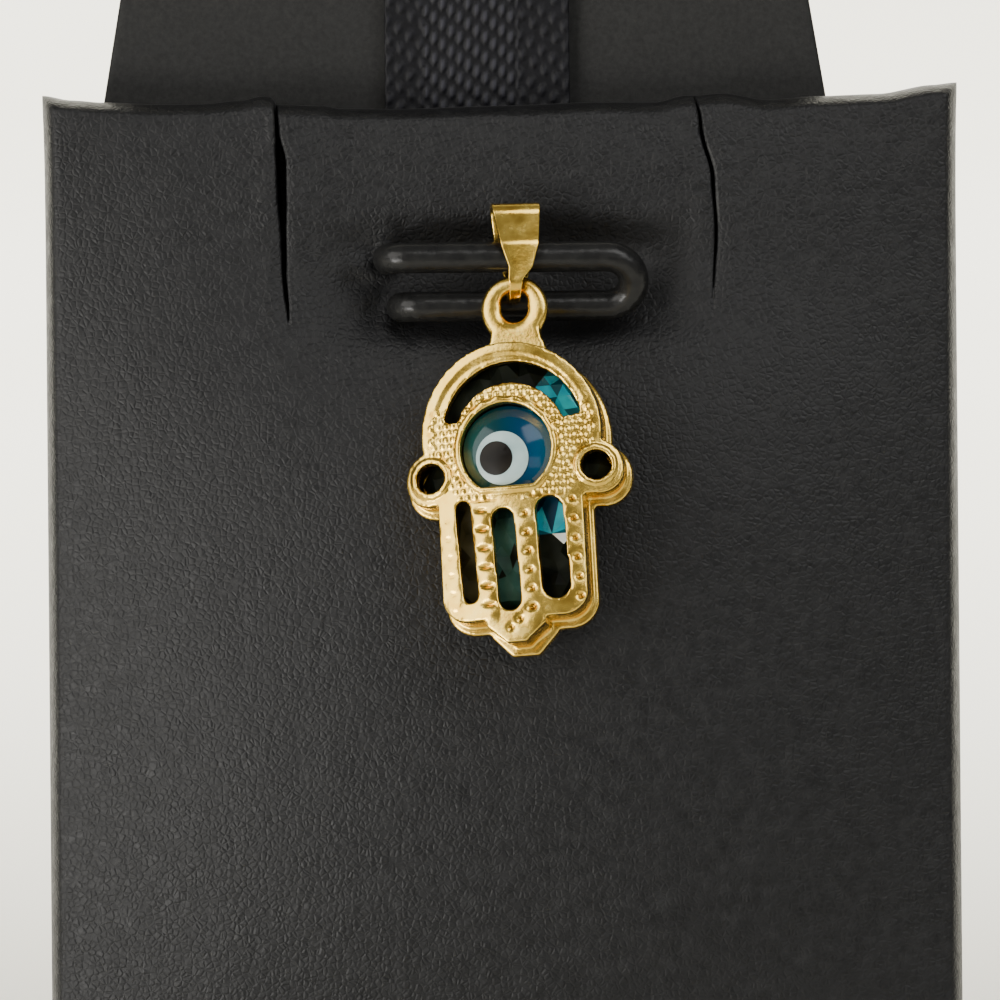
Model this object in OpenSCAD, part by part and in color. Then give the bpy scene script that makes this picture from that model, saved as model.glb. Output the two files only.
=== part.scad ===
// Hamsa pendant hanging on the loop of a padded display stand. Millimetres, +Z up, front towards -Y.
// The pad frame has x to the right, y up along the pad and z out of its front, from its lower back edge.
// The hand frame has the same directions, from the centre of the ring's top wire.

/* [Display pad] */
// Width of the pad
pad_w = 57.6; // [50:0.2:70]
// Height of the pad
pad_h = 70; // [60:1:90]
// Thickness of the pad just inside its rolled edge
pad_edge_t = 4; // [3:0.5:6]
// Extra thickness at the middle of the pad
pad_crown = 4.5; // [3:0.5:6]
// Width of the rolled edge
pad_roll = 3; // [2:0.5:5]
// How far the corners are pulled out
pad_corner = 0.4; // [0:0.1:1.2]
// How far the top and bottom edges curve in
pad_edge_sag = 0.5; // [0:0.1:1]
// Depth of the hollow round the loop
dip_depth = 1.8; // [0.5:0.1:2.4]
// Half width of the hollow
dip_x = 17; // [12:1:20]
// Half height of the hollow
dip_y = 7; // [5:1:9]
// Distance of the left slit from the pad's centre line
slit_left = 13.7; // [12:0.1:18]
// Distance of the right slit from the pad's centre line
slit_right = 13.2; // [12:0.1:18]
// Length of each slit down from the top edge
slit_l = 14; // [8:1:18]
// Width of each slit
slit_w = 0.6; // [0.4:0.1:1]

/* [Stand] */
// Angle that the pad leans back from upright
lean = 15; // [8:1:22]
// Width of the back board at the pad's top edge
board_w = 46; // [38:1:50]
// Distance of the board's middle to the left of the pad's
board_left = 2.2; // [0:0.1:4]
// How much narrower the board is at its own top edge
board_taper = 3; // [0:0.5:6]
// Height of the board above the pad
board_above = 9; // [6:1:14]
// Thickness of the board and its foot
board_t = 3; // [2:0.5:5]
// Depth of the foot from front to back
foot_d = 44; // [38:1:60]
// Distance from the foot's front edge to the pad's lower back edge
foot_front = 10; // [8:1:14]
// Gap that seats the pad on the foot
seat_gap = 0.2; // [0.1:0.1:0.3]

/* [Ribbon] */
// Width of the ribbon
ribbon_w = 11.8; // [8:0.1:16]
// Thickness of the woven ribbon
ribbon_t = 1; // [0.8:0.1:1.5]
// Distance of the ribbon to the left of the centre line
ribbon_left = 1.6; // [0:0.1:5]
// Length of ribbon tucked down behind the pad
ribbon_tuck = 16; // [8:1:30]
// Length of ribbon that hangs down behind the board
ribbon_back = 14; // [6:1:30]
// Gap between the ribbon and what it lies on
ribbon_gap = 0.15; // [0.1:0.05:0.3]

/* [Hanging loop] */
// Diameter of the cord
cord_d = 1.9; // [1.4:0.1:2]
// Distance between the two strands, centre to centre
strand_gap = 3.4; // [3.2:0.05:3.6]
// How far down the pad the lower strand lies
strand_down = 12.9; // [12.6:0.1:13.4]
// Reach of the loop to the right of the centre line
loop_right = 9.2; // [8:0.1:12]
// Reach of the loop to the left of the centre line
loop_left = 8; // [6:0.1:11]
// How much shorter the lower strand is on the left
loop_step = 0.8; // [0:0.1:1.5]
// Tilt of the loop away from the pad
loop_tilt = 28; // [26:1:30]
// Clearance of the lower strand above the pad
loop_lift = 0.15; // [0.1:0.05:0.4]
// Clearance between the cord and the bail
strand_clear = 0.08; // [0.06:0.02:0.12]
// Bend radius where the strands turn into the pad
loop_bend = 1.2; // [1.1:0.05:1.3]
// Depth of the cord in the pad
loop_set = 2.5; // [1.5:0.1:3]
// Clearance round the cord in its holes
hole_clear = 0.15; // [0.1:0.05:0.25]

/* [Bail] */
// Thickness of the bail's strip
strip_t = 0.35; // [0.3:0.05:0.4]
// Height from the ring's wire to the top of the bail
bail_h = 5.3; // [4.8:0.1:6]
// Radius of the fold at the top
bail_top_r = 0.85; // [0.7:0.05:1]
// Half depth of the bail at its crease
bail_belly = 1.65; // [1.6:0.05:1.8]
// Height of the crease above the ring's wire
bail_crease_h = 2.9; // [2.6:0.1:3.2]
// Inner radius of the bend that carries the ring
bail_bend_r = 1.15; // [1.1:0.05:1.25]
// Width of the bail at the top
bail_w_top = 3.1; // [2.6:0.1:3.6]
// Width of the bail at the crease
bail_w_mid = 2.2; // [1.8:0.1:2.4]
// Width of the bail beside the ring's wire
bail_w_ring = 1.2; // [1:0.05:1.25]
// Width of the bail's bend, inside the ring
bail_w_low = 0.7; // [0.6:0.05:0.75]
// Turn of the bail towards the right
bail_yaw = 7; // [2:1:8]

/* [Ring and hand pose] */
// Outer radius of the cast ring
ring_r = 2.12; // [2:0.02:2.3]
// Half the width of the ring's wire, seen from the front
ring_wire_r = 0.53; // [0.48:0.01:0.55]
// Thickness of the ring from front to back
ring_t = 0.84; // [0.7:0.02:0.9]
// Distance of the ring to the right of the pad's centre line
ring_x = 0.75; // [-2:0.05:2]
// How far the ring stands to the right of the hand's middle
ring_off = 0.3; // [0:0.1:1]
// Height of the ring's plane above the back of the hand
ring_z = 1.1; // [0.9:0.1:1.6]
// Gap between the ring and the bail that carries it
ring_gap = 0.12; // [0.1:0.01:0.14]
// Length of the neck between the ring and the dome
neck_l = 0.45; // [0.2:0.05:0.8]
// Roll of the hand and bail, lower end to the right
hang_roll = 4.5; // [0:0.5:6]
// Turn of the hand towards the left
hand_yaw = 10; // [0:1:11]
// Gap between the resting hand and the pad
rest_gap = 0.3; // [0.2:0.05:0.6]

/* [Casing] */
// Radius of the dome
dome_r = 5.65; // [5.4:0.05:6]
// Left edge of the fingers from the hand's middle
finger_left = 4.8; // [4.6:0.05:5.1]
// Right edge of the fingers from the hand's middle
finger_right = 4.3; // [4.2:0.05:4.9]
// Distance from the dome's centre down to the side fingers' ends
finger_drop = 11.6; // [11.5:0.1:13]
// Corner radius of the side fingers
finger_corner = 1.6; // [1.2:0.1:2]
// Distance from the dome's centre down to the tip
tip_drop = 13.1; // [12.8:0.1:15]
// Width of the tip where it leaves the fingers
tip_w_top = 3.7; // [3:0.1:4.5]
// Width of the tip at its end
tip_w_end = 1.5; // [1:0.1:2]
// Corner radius of the tip
tip_corner = 0.3; // [0.1:0.05:0.5]
// Distance of the thumb holes from the hand's middle
thumb_x = 5.2; // [5.1:0.05:5.8]
// Distance of the thumb holes below the dome's centre
thumb_y = 2.4; // [2:0.1:3]
// Radius of the boss round each thumb hole
thumb_boss_r = 1.6; // [1.4:0.05:1.7]
// How far the thumb's lower round lies below its boss
thumb_l = 0.25; // [0.1:0.05:1.2]
// How far the thumb's lower round lies outside its boss
thumb_flare = 0.1; // [0:0.05:0.2]
// Radius of the thumb holes
thumb_hole_r = 0.92; // [0.7:0.02:1]
// Depth of the casing at its middle
case_d = 3.8; // [3.6:0.1:4.4]
// Radius of the front's curve from side to side
front_r = 20; // [16:1:40]
// Thickness of the front plate
plate_t = 0.8; // [0.6:0.1:0.9]
// Thickness of the side wall
wall_t = 0.5; // [0.4:0.05:0.6]
// Thickness of the back
back_t = 0.6; // [0.5:0.05:0.8]
// How far the back stands out round the edge
back_rim = 0.32; // [0.1:0.02:0.4]
// How much lower the back's outline lies than the front's
back_shift = 0.2; // [0:0.05:0.3]
// Depth of the groove between front plate and back rim
groove = 0.15; // [0.05:0.05:0.2]

/* [Openwork] */
// Radius of the crescent's outer edge
crescent_out_r = 4.4; // [4.2:0.05:4.6]
// Radius of the crescent's inner edge
crescent_in_r = 3.5; // [3.4:0.05:3.6]
// Distance of the inner edge's centre below the outer one's
crescent_step = 0.4; // [0.3:0.05:0.5]
// Angle of the crescent's left end above the dome's centre
crescent_end_left = 14; // [8:1:25]
// Angle of the crescent's right end above the dome's centre
crescent_end_right = 12; // [8:1:25]
// Width of the left finger slot
slot_w_left = 0.95; // [0.7:0.05:1.1]
// Width of the middle finger slot
slot_w_mid = 1.4; // [1:0.05:1.6]
// Width of the right finger slot
slot_w_right = 1.7; // [1.2:0.05:1.8]
// Length of the finger slots
slot_l = 6.4; // [5:0.1:6.6]
// Lean of the finger slots, lower ends to the right
slot_lean = 2.5; // [0:0.5:4]
// Radius of the beads on the front
bead_r = 0.33; // [0.26:0.01:0.36]
// Distance from bead to bead
bead_pitch = 1.15; // [1:0.05:1.4]
// Height of the raised bezels
bezel_h = 0.16; // [0.08:0.02:0.24]
// Width of the raised bezels
bezel_w = 0.32; // [0.24:0.02:0.4]

/* [Glass] */
// Radius of the eye's opening
eye_r = 2.85; // [2.6:0.05:2.9]
// Distance of the eye to the left of the hand's middle
eye_left = 0.3; // [0:0.05:0.4]
// Distance of the eye below the dome's centre
eye_down = 1; // [0.6:0.05:1.1]
// Flat of the eye's opening below its centre
eye_flat = 2.35; // [2.2:0.05:2.5]
// Height of the eye's top below the middle of the front
eye_sink = 0.25; // [0.1:0.05:0.5]
// Radius of the eye's dome
eye_dome_r = 6; // [5:0.5:10]
// Clearance round each piece of glass
glass_clear = 0.06; // [0.04:0.01:0.1]
// Radius of the white ring
white_r = 1.68; // [1.4:0.02:1.7]
// Distance of the white ring to the left of the eye's centre
white_left = 0.3; // [0.2:0.02:0.5]
// Distance of the white ring below the eye's centre
white_down = 0.52; // [0.3:0.02:0.54]
// Radius of the pupil
pupil_r = 1.05; // [0.8:0.05:1.1]
// Distance of the pupil to the left of the white ring's centre
pupil_left = 0.36; // [0.1:0.02:0.4]
// Depth of each inlay of the eye
inlay_d = 0.45; // [0.3:0.05:0.5]
// Width of the glass core's sloping facets
facet_w = 1.3; // [0.8:0.1:1.6]

/* [Hidden] */
$fn = 48;
over = 1;

gold = [0.86, 0.7, 0.36];
black_leather = [0.16, 0.16, 0.17];
teal_glass = [0.02, 0.36, 0.38];

// Front surface of the pad, as a height over its back.
pad_cols = 24;
pad_rows = 28;
crown_power = 2.2;
cord_r = cord_d / 2;
hinge_down = strand_down - 1.3;
dip_down = strand_down - 1.5;

function rolled(d) = let (s = min(max(d, 0) / pad_roll, 1)) sqrt(max(0, 1 - (1 - s) * (1 - s)));
function crowned(s) = 1 - pow(abs(s), crown_power);
function hollow(x, y) = dip_depth * exp(-pow(x / dip_x, 2) - pow((y - (pad_h - dip_down)) / dip_y, 2));
function edge_in(x) = pad_edge_sag * (1 - pow(2 * x / pad_w, 2));
function pad_z(x, y) =
    let (
        side = rolled(pad_w / 2 - abs(x)),
        end = rolled(min(y, pad_h - y) - edge_in(x)),
        crown = pad_crown * crowned(2 * x / pad_w) * crowned(2 * y / pad_h - 1)
    )
    side * end * (pad_edge_t + crown - hollow(x, y));

// Loop: the lower strand lies over the pad, and the upper one stands further out, inside the bail.
lower_y = pad_h - strand_down;
lower_z = max(pad_z(0, lower_y), pad_z(-loop_left, lower_y), pad_z(loop_right, lower_y)) + cord_r + loop_lift;
upper_dy = strand_gap * cos(loop_tilt);
upper_dz = strand_gap * sin(loop_tilt);
strand_turn = strand_gap / 2;
turn_x = loop_right - strand_turn - cord_r;

// Ring and bail: the bail's lower bend is clear of the lower strand.
ring_mid_r = ring_r - ring_wire_r;
hinge_y = pad_h - hinge_down;
bail_bend_y = bail_bend_r - ring_mid_r - ring_gap
    + sqrt(pow(ring_mid_r - ring_wire_r, 2) - pow(bail_w_low / 2 / cos(bail_yaw + hand_yaw), 2));
bend_dy = hinge_y + bail_bend_y - lower_y;
bend_reach = bail_bend_r + strip_t + cord_r + 2 * strand_clear;
hinge_z = lower_z + sqrt(max(0.1, pow(bend_reach, 2) - pow(bend_dy, 2)));
bail_pitch = atan((hinge_z - lower_z - upper_dz) / (lower_y + upper_dy - hinge_y));

// Hand, from the ring's top wire: the dome's centre, the levels of its walls and its front.
dome_x = -ring_off;
dome_y = -ring_mid_r - ring_r - neck_l - dome_r;
back_z = -ring_z;
back_grow = back_rim - back_shift / 2;
front_z = back_z + case_d;
rim_z = back_z + back_t + 0.15;
plate_low = front_z - plate_t - (front_r - sqrt(front_r * front_r - pow(thumb_x + thumb_boss_r, 2)));
slot_top = -4.05;
slot_mid = slot_top - slot_l / 2;
crescent_x = 0.15;
seam = 0.02;
tip_step = 0.4;
// Each finger slot: its middle from side to side, its width and how much lower it starts.
slots = [
    [-3.1, slot_w_left, 0],
    [-0.61, slot_w_mid, -0.65],
    [2.3, slot_w_right, -0.1]
];
finger_mid = (finger_right - finger_left) / 2;
eye_x = -eye_left;
eye_y = -eye_down;
eye_back = front_z - 2.1;
eye_top = front_z - eye_sink;

// Lift of the hand's lower end: the back's left thumb, finger corner or tip comes to rest over the pad.
rest_points = concat(
    [
        for (a = [120:20:240])
            [-thumb_x, -thumb_y - thumb_l, 0] + (thumb_boss_r + back_grow) * [cos(a), sin(a), 0]
    ],
    [[-finger_left - back_grow, -finger_drop + finger_corner, 0], [-tip_w_end, -tip_drop - back_grow, 0]]
);
function rest_pitch(p) =
    let (
        x = dome_x + p[0],
        y = dome_y + p[1] - back_shift,
        pad_x = ring_x + x * cos(hang_roll) - y * sin(hang_roll),
        pad_y = hinge_y + x * sin(hang_roll) + y * cos(hang_roll),
        need = (pad_z(pad_x, pad_y) + rest_gap - hinge_z - x * sin(hand_yaw)) / cos(hand_yaw)
    )
    asin(need / norm([y, back_z])) - atan(back_z / -y);
hand_pitch = max([for (p = rest_points) rest_pitch(p)]);

function front_at(x) = front_z - front_r + sqrt(front_r * front_r - x * x);

module on_pad() {
    translate([0, foot_front - foot_d / 2, board_t + seat_gap])
    rotate([90 - lean, 0, 0])
    children();
}

module at_hinge() {
    on_pad() translate([ring_x, hinge_y, hinge_z]) children();
}

module in_hand() {
    at_hinge() rotate([-hand_pitch, -hand_yaw, hang_roll]) translate([dome_x, dome_y, 0]) children();
}

// Level curve of the front plate, for cutting a shape to a height over it.
module below_front(up) {
    translate([0, over, front_z - front_r])
    rotate([90, 0, 0])
    translate([0, 0, -2 * dome_r])
    cylinder(r = front_r + up, h = 2 * dome_r + 2 * tip_drop, $fn = 200);
}

// Side view of the stand: depth and height of a point of the pad frame, and the line that a plane behind
// the pad makes with the foot's top.
function stand_at(y, z) = [
    foot_front - foot_d / 2 + y * sin(lean) - z * cos(lean),
    board_t + seat_gap + y * cos(lean) + z * sin(lean)
];
function at_foot(z) = stand_at((-seat_gap - z * sin(lean)) / cos(lean), z);

module back_board() {
    board_top = pad_h + board_above;
    front = -ribbon_t - 2 * ribbon_gap;
    back = front - board_t;
    taper_low = stand_at(pad_h, front)[1];
    taper_high = stand_at(board_top, front)[1];
    slope = board_taper / 2 / (taper_high - taper_low);
    color([0.1, 0.1, 0.11])
    translate([-board_left, 0, 0])
    difference() {
        rotate([90, 0, 90])
        translate([0, 0, -board_w / 2])
        linear_extrude(board_w)
        polygon([
            [-foot_d / 2, 0],
            [foot_d / 2, 0],
            [foot_d / 2, board_t],
            at_foot(back),
            stand_at(board_top, back),
            stand_at(board_top, front),
            at_foot(front),
            [-foot_d / 2, board_t]
        ]);
        for (side = [-1, 1])
            rotate([90, 0, 0])
            translate([0, 0, -foot_d])
            linear_extrude(2 * foot_d)
            polygon([
                [side * (board_w / 2 + over * slope), taper_low - over],
                [side * board_w, taper_low - over],
                [side * board_w, taper_high + 2 * over],
                [side * (board_w / 2 - board_taper / 2 - 2 * over * slope), taper_high + 2 * over]
            ]);
    }
}

// Pad: a grid of points closed by its flat back, with finer steps near the edges.
function pad_point(i, j) =
    let (
        s = sin(180 * i / pad_cols - 90),
        t = sin(180 * j / pad_rows - 90),
        pull = pad_corner * pow(abs(s * t), 12),
        x = s * pad_w / 2,
        y = pad_h / 2 + t * (pad_h / 2 - edge_in(x))
    )
    [x + sign(s) * pull, y + sign(t) * pull, pad_z(x, y)];

module pad_body() {
    row = pad_cols + 1;
    points = [for (j = [0:pad_rows], i = [0:pad_cols]) pad_point(i, j)];
    faces = [
        for (j = [0:pad_rows - 1], i = [0:pad_cols - 1], k = [0, 1])
            let (a = j * row + i, turned = (i < pad_cols / 2) == (j >= pad_rows / 2))
            turned
                ? (k == 0 ? [a, a + row, a + 1] : [a + row, a + row + 1, a + 1])
                : (k == 0 ? [a, a + row, a + row + 1] : [a, a + row + 1, a + 1])
    ];
    rim = concat(
        [for (i = [0:pad_cols]) i],
        [for (j = [1:pad_rows]) j * row + pad_cols],
        [for (i = [pad_cols - 1:-1:0]) pad_rows * row + i],
        [for (j = [pad_rows - 1:-1:1]) j * row]
    );
    back = [
        for (k = [0:len(rim) - 1]) [rim[k], rim[(k + 1) % len(rim)], len(points)]
    ];
    polyhedron(points = concat(points, [[0, pad_h / 2, 0]]), faces = concat(faces, back), convexity = 6);
}

module pad() {
    color(black_leather)
    on_pad()
    difference() {
        pad_body();
        for (x = [-slit_left, slit_right])
            translate([x, pad_h - slit_l, -over])
            rotate([0, 0, 2])
            translate([-slit_w / 2, 0, 0])
            cube([slit_w, slit_l + pad_corner + over, pad_edge_t + pad_crown + 2 * over]);
        loop_ends()
            translate([0, 0, -hole_clear])
            cylinder(r = cord_r + hole_clear, h = 2 * loop_set + pad_crown + pad_edge_t);
    }
}

module ribbon() {
    top_y = pad_h + board_above + ribbon_gap;
    front = -ribbon_gap;
    back = front - 2 * ribbon_t - 2 * ribbon_gap - board_t - ribbon_gap;
    color([0.07, 0.07, 0.08])
    on_pad()
    translate([-ribbon_left - ribbon_w / 2, 0, 0])
    rotate([0, 90, 0])
    rotate([0, 0, 90])
    linear_extrude(ribbon_w)
    union() {
        translate([pad_h - ribbon_tuck, front - ribbon_t])
        square([board_above + ribbon_tuck + ribbon_gap, ribbon_t]);
        translate([top_y, back + ribbon_t])
        square([ribbon_t, front - back - 2 * ribbon_t]);
        translate([top_y - ribbon_back, back])
        square([ribbon_back, ribbon_t]);
        for (z = [front - ribbon_t, back + ribbon_t])
            intersection() {
                translate([top_y, z]) circle(r = ribbon_t);
                translate([top_y, z > (front + back) / 2 ? z : z - ribbon_t]) square(ribbon_t);
            }
    }
}

// Places its children at the cord's two ends, pointing out of the pad.
module loop_ends() {
    for (k = [0, 1]) translate(strand_end(k)) children();
}

// Loop: a round section swept along the route from hole to hole, turned as little as possible.
function unit(v) = v / norm(v);
function strand_end(k) =
    let (x = -loop_left + cord_r + (1 - k) * loop_step, y = lower_y + k * upper_dy)
    [x, y, pad_z(x, y) - loop_set];
function strand_bend(k) = [
    for (a = [180:-15:90])
        let (foot = strand_end(k), z = lower_z + k * upper_dz - loop_bend)
        [foot[0] + loop_bend + loop_bend * cos(a), foot[1], z + loop_bend * sin(a)]
];
function reversed(list) = [for (i = [len(list) - 1:-1:0]) list[i]];
loop_route = concat(
    [strand_end(0)],
    strand_bend(0),
    [
        for (a = [-90:15:90])
            let (up = strand_turn * (1 + sin(a)))
            [turn_x + strand_turn * cos(a), lower_y + up * cos(loop_tilt), lower_z + up * sin(loop_tilt)]
    ],
    reversed(strand_bend(1)),
    [strand_end(1)]
);
function route_dir(i) = unit(loop_route[min(i + 1, len(loop_route) - 1)] - loop_route[max(i - 1, 0)]);
function carried(normals, i) =
    i == len(loop_route) ? normals :
    let (last = normals[i - 1], dir = route_dir(i))
    carried(concat(normals, [unit(last - dir * (last * dir))]), i + 1);
loop_sides = 16;

module hanging_loop() {
    normals = carried([[1, 0, 0]], 1);
    last = len(loop_route) - 1;
    points = [
        for (i = [0:last], k = [0:loop_sides - 1])
            let (a = 360 * k / loop_sides, side = cross(route_dir(i), normals[i]))
            loop_route[i] + cord_r * (cos(a) * normals[i] + sin(a) * side)
    ];
    walls = [
        for (i = [0:last - 1], k = [0:loop_sides - 1])
            let (a = i * loop_sides + k, b = i * loop_sides + (k + 1) % loop_sides)
            [a, a + loop_sides, b + loop_sides, b]
    ];
    caps = [
        [for (k = [0:loop_sides - 1]) k],
        [for (k = [loop_sides - 1:-1:0]) last * loop_sides + k]
    ];
    color([0.06, 0.06, 0.07])
    on_pad()
    polyhedron(points = points, faces = concat(walls, caps), convexity = 6);
}

module bail_side(inset) {
    top_y = bail_h - bail_top_r;
    low_r = bail_bend_r + strip_t - inset;
    top_r = bail_top_r - inset;
    belly = bail_belly - inset;
    translate([0, bail_bend_y]) circle(r = low_r);
    translate([0, top_y]) circle(r = top_r);
    polygon([
        [-low_r, bail_bend_y],
        [low_r, bail_bend_y],
        [belly, bail_crease_h],
        [top_r, top_y],
        [-top_r, top_y],
        [-belly, bail_crease_h]
    ]);
}

module bail() {
    low = -bail_bend_r - strip_t - over;
    color(gold)
    at_hinge()
    rotate([-bail_pitch, bail_yaw, hang_roll])
    intersection() {
        translate([-bail_w_top, 0, 0])
        rotate([0, 90, 0])
        linear_extrude(2 * bail_w_top)
        difference() {
            bail_side(0);
            bail_side(strip_t);
        }
        translate([0, 0, -2 * bail_belly])
        linear_extrude(4 * bail_belly)
        polygon([
            [-bail_w_low / 2, low],
            [bail_w_low / 2, low],
            [bail_w_low / 2, -ring_wire_r],
            [bail_w_ring / 2, bail_bend_y],
            [bail_w_mid / 2, bail_crease_h],
            [bail_w_top / 2, bail_h],
            [-bail_w_top / 2, bail_h],
            [-bail_w_mid / 2, bail_crease_h],
            [-bail_w_ring / 2, bail_bend_y],
            [-bail_w_low / 2, -ring_wire_r]
        ]);
    }
}

// Outline of the hand about the dome's centre, larger all round by a margin.
module hand_outline(grow) {
    left = -finger_left - grow;
    right = finger_right + grow;
    low = -finger_drop - grow;
    corner = finger_corner + grow;
    circle(r = dome_r + grow, $fn = 96);
    translate([left, low + corner]) square([right - left, -low - corner]);
    translate([left + corner, low]) square([right - left - 2 * corner, corner]);
    for (x = [left + corner, right - corner])
        translate([x, low + corner]) circle(r = corner);
    for (side = [-1, 1]) thumb(side, grow);
    tip(grow);
}

// One thumb: its boss and the round below it, joined to the palm a hair inside the rounds' edges.
module thumb(side, grow) {
    boss_r = thumb_boss_r + grow;
    low_r = boss_r - thumb_flare;
    translate([side * thumb_x, -thumb_y]) circle(r = boss_r);
    translate([side * (thumb_x + thumb_flare), -thumb_y - thumb_l]) circle(r = low_r);
    polygon([
        [side * (thumb_x - thumb_boss_r), -thumb_y],
        [side * (thumb_x + boss_r - seam), -thumb_y],
        [side * (thumb_x + boss_r - seam), -thumb_y - thumb_l],
        [side * (thumb_x + thumb_flare), seam - thumb_y - thumb_l - low_r],
        [side * (thumb_x - thumb_boss_r), seam - thumb_y - thumb_l - low_r]
    ]);
}

module tip(grow) {
    half = [
        [tip_w_top / 2 + grow, 2 * wall_t - finger_drop],
        [tip_w_top / 2 + grow, -tip_step - finger_drop],
        [(tip_w_end + tip_corner) / 2 + grow, tip_corner - tip_drop - grow],
        [(tip_w_end - tip_corner) / 2 + grow, -tip_drop - grow]
    ];
    polygon(concat(
        [for (p = half) [finger_mid + p[0], p[1]]],
        [for (p = reversed(half)) [finger_mid - p[0], p[1]]]
    ));
}

module eye_shape(grow) {
    intersection() {
        translate([eye_x, eye_y]) circle(r = eye_r + grow, $fn = 96);
        translate([eye_x - 2 * eye_r, eye_y - eye_flat - grow]) square(4 * eye_r);
    }
}

module openings() {
    far = 2 * dome_r;
    difference() {
        translate([crescent_x, 0]) circle(r = crescent_out_r, $fn = 96);
        translate([0, -crescent_step]) circle(r = crescent_in_r, $fn = 96);
        polygon([
            [0, 0],
            far * [-cos(crescent_end_left), sin(crescent_end_left)],
            [-far, -far],
            [far, -far],
            far * [cos(crescent_end_right), sin(crescent_end_right)]
        ]);
    }
    for (slot = slots) {
        straight = slot_l - slot[1];
        translate([slot[0], slot_mid + slot[2]])
        rotate([0, 0, slot_lean]) {
            translate([-slot[1] / 2, -straight / 2]) square([slot[1], straight]);
            for (end = [-1, 1])
                translate([0, end * straight / 2]) circle(r = slot[1] / 2);
        }
    }
    for (side = [-1, 1])
        translate([side * thumb_x, -thumb_y]) circle(r = thumb_hole_r);
    eye_shape(0);
}

// Centres of the beads: along the bars between the slots, round the dome, over the eye and beside it.
row_beads = 6;
bead_start = 0.55;
bead_edge = 0.5;
dome_bead_end = 8;
brow_end = 20;
cheek_up = 0.9;
bar_edges = concat(
    [-finger_left],
    [for (slot = slots, side = [-1, 1]) slot[0] + side * slot[1] / 2],
    [finger_right]
);
finger_beads = [
    for (bar = [0:len(slots)], k = [0:row_beads - 1])
        let (y = slot_top - bead_start - k * bead_pitch)
        [(bar_edges[2 * bar] + bar_edges[2 * bar + 1]) / 2 + (slot_mid - y) * tan(slot_lean), y]
];
dome_bead_r = dome_r - bead_edge;
dome_beads = [
    for (a = [-dome_bead_end:bead_pitch / dome_bead_r * 180 / PI:180 + dome_bead_end])
        dome_bead_r * [cos(a), sin(a)]
];
brow_r = eye_r + bezel_w + bead_r;
brow_beads = [
    for (a = [brow_end:bead_pitch / brow_r * 180 / PI:180 - brow_end])
        [eye_x, eye_y] + brow_r * [cos(a), sin(a)]
];
cheek_beads = [
    for (side = [-1, 1], k = [0:1 + max(side, 0)])
        [eye_x + side * (brow_r + bead_r / 2), eye_y + cheek_up - k * bead_pitch]
];
bead_places = concat(finger_beads, dome_beads, brow_beads, cheek_beads);

module beads() {
    for (p = bead_places)
        translate([p[0], p[1], front_at(p[0])]) sphere(r = bead_r, $fn = 24);
}

module bezels() {
    intersection() {
        translate([0, 0, front_z - plate_t - 1])
        linear_extrude(plate_t + 2)
        union() {
            difference() {
                eye_shape(bezel_w);
                eye_shape(0);
            }
            for (side = [-1, 1])
                translate([side * thumb_x, -thumb_y])
                difference() {
                    circle(r = thumb_hole_r + bezel_w);
                    circle(r = thumb_hole_r);
                }
        }
        below_front(bezel_h);
    }
}

module shell() {
    intersection() {
        union() {
            translate([0, 0, plate_low]) linear_extrude(front_z - plate_low) hand_outline(0);
            translate([0, 0, back_z]) linear_extrude(front_z - back_z - plate_t) hand_outline(-groove);
            translate([0, -back_shift, back_z])
            linear_extrude(rim_z - back_z)
            hand_outline(back_grow);
        }
        below_front(0);
    }
}

// Section of the ring's wire: rounded on both sides, a little flatter from front to back.
module wire_section() {
    side = ring_wire_r - ring_t / 2;
    translate([-side, -ring_t / 2]) square([2 * side, ring_t]);
    for (x = [-side, side])
        translate([x, 0]) circle(r = ring_t / 2);
}

module cast_ring() {
    neck_w = 2.9;
    neck_in = 0.7;
    translate([-dome_x, -dome_y - ring_mid_r, 0])
    rotate_extrude()
    translate([ring_mid_r, 0])
    wire_section();
    difference() {
        translate([-dome_x - neck_w / 2, dome_r - neck_in, -ring_t / 2])
        cube([neck_w, neck_l + 2 * neck_in, ring_t]);
        translate([-dome_x, -dome_y - ring_mid_r, -over])
        cylinder(r = ring_mid_r, h = 2 * over);
    }
}

module casing() {
    color(gold)
    in_hand()
    difference() {
        union() {
            shell();
            cast_ring();
            bezels();
            beads();
        }
        intersection() {
            translate([0, 0, back_z + back_t])
            linear_extrude(case_d)
            hand_outline(-wall_t);
            below_front(-plate_t);
        }
        translate([0, 0, plate_low - 0.3]) linear_extrude(case_d) openings();
    }
}

// One lobe of the glass core: a deep girdle with facets sloping up to a smaller table.
module cut_lobe(points, mid, table_z) {
    hull() {
        translate([0, 0, back_z + back_t + glass_clear]) linear_extrude(girdle_h) polygon(points);
        translate([0, 0, table_z - table_t])
        linear_extrude(table_t)
        polygon([for (p = points) p - facet_w * (p - mid) / norm(p - mid)]);
    }
}

girdle_h = 0.7;
table_t = 0.1;
core_cut = 1;
core_margin = wall_t + 2 * glass_clear;
core_table = front_z - plate_t - 0.5;

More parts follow.
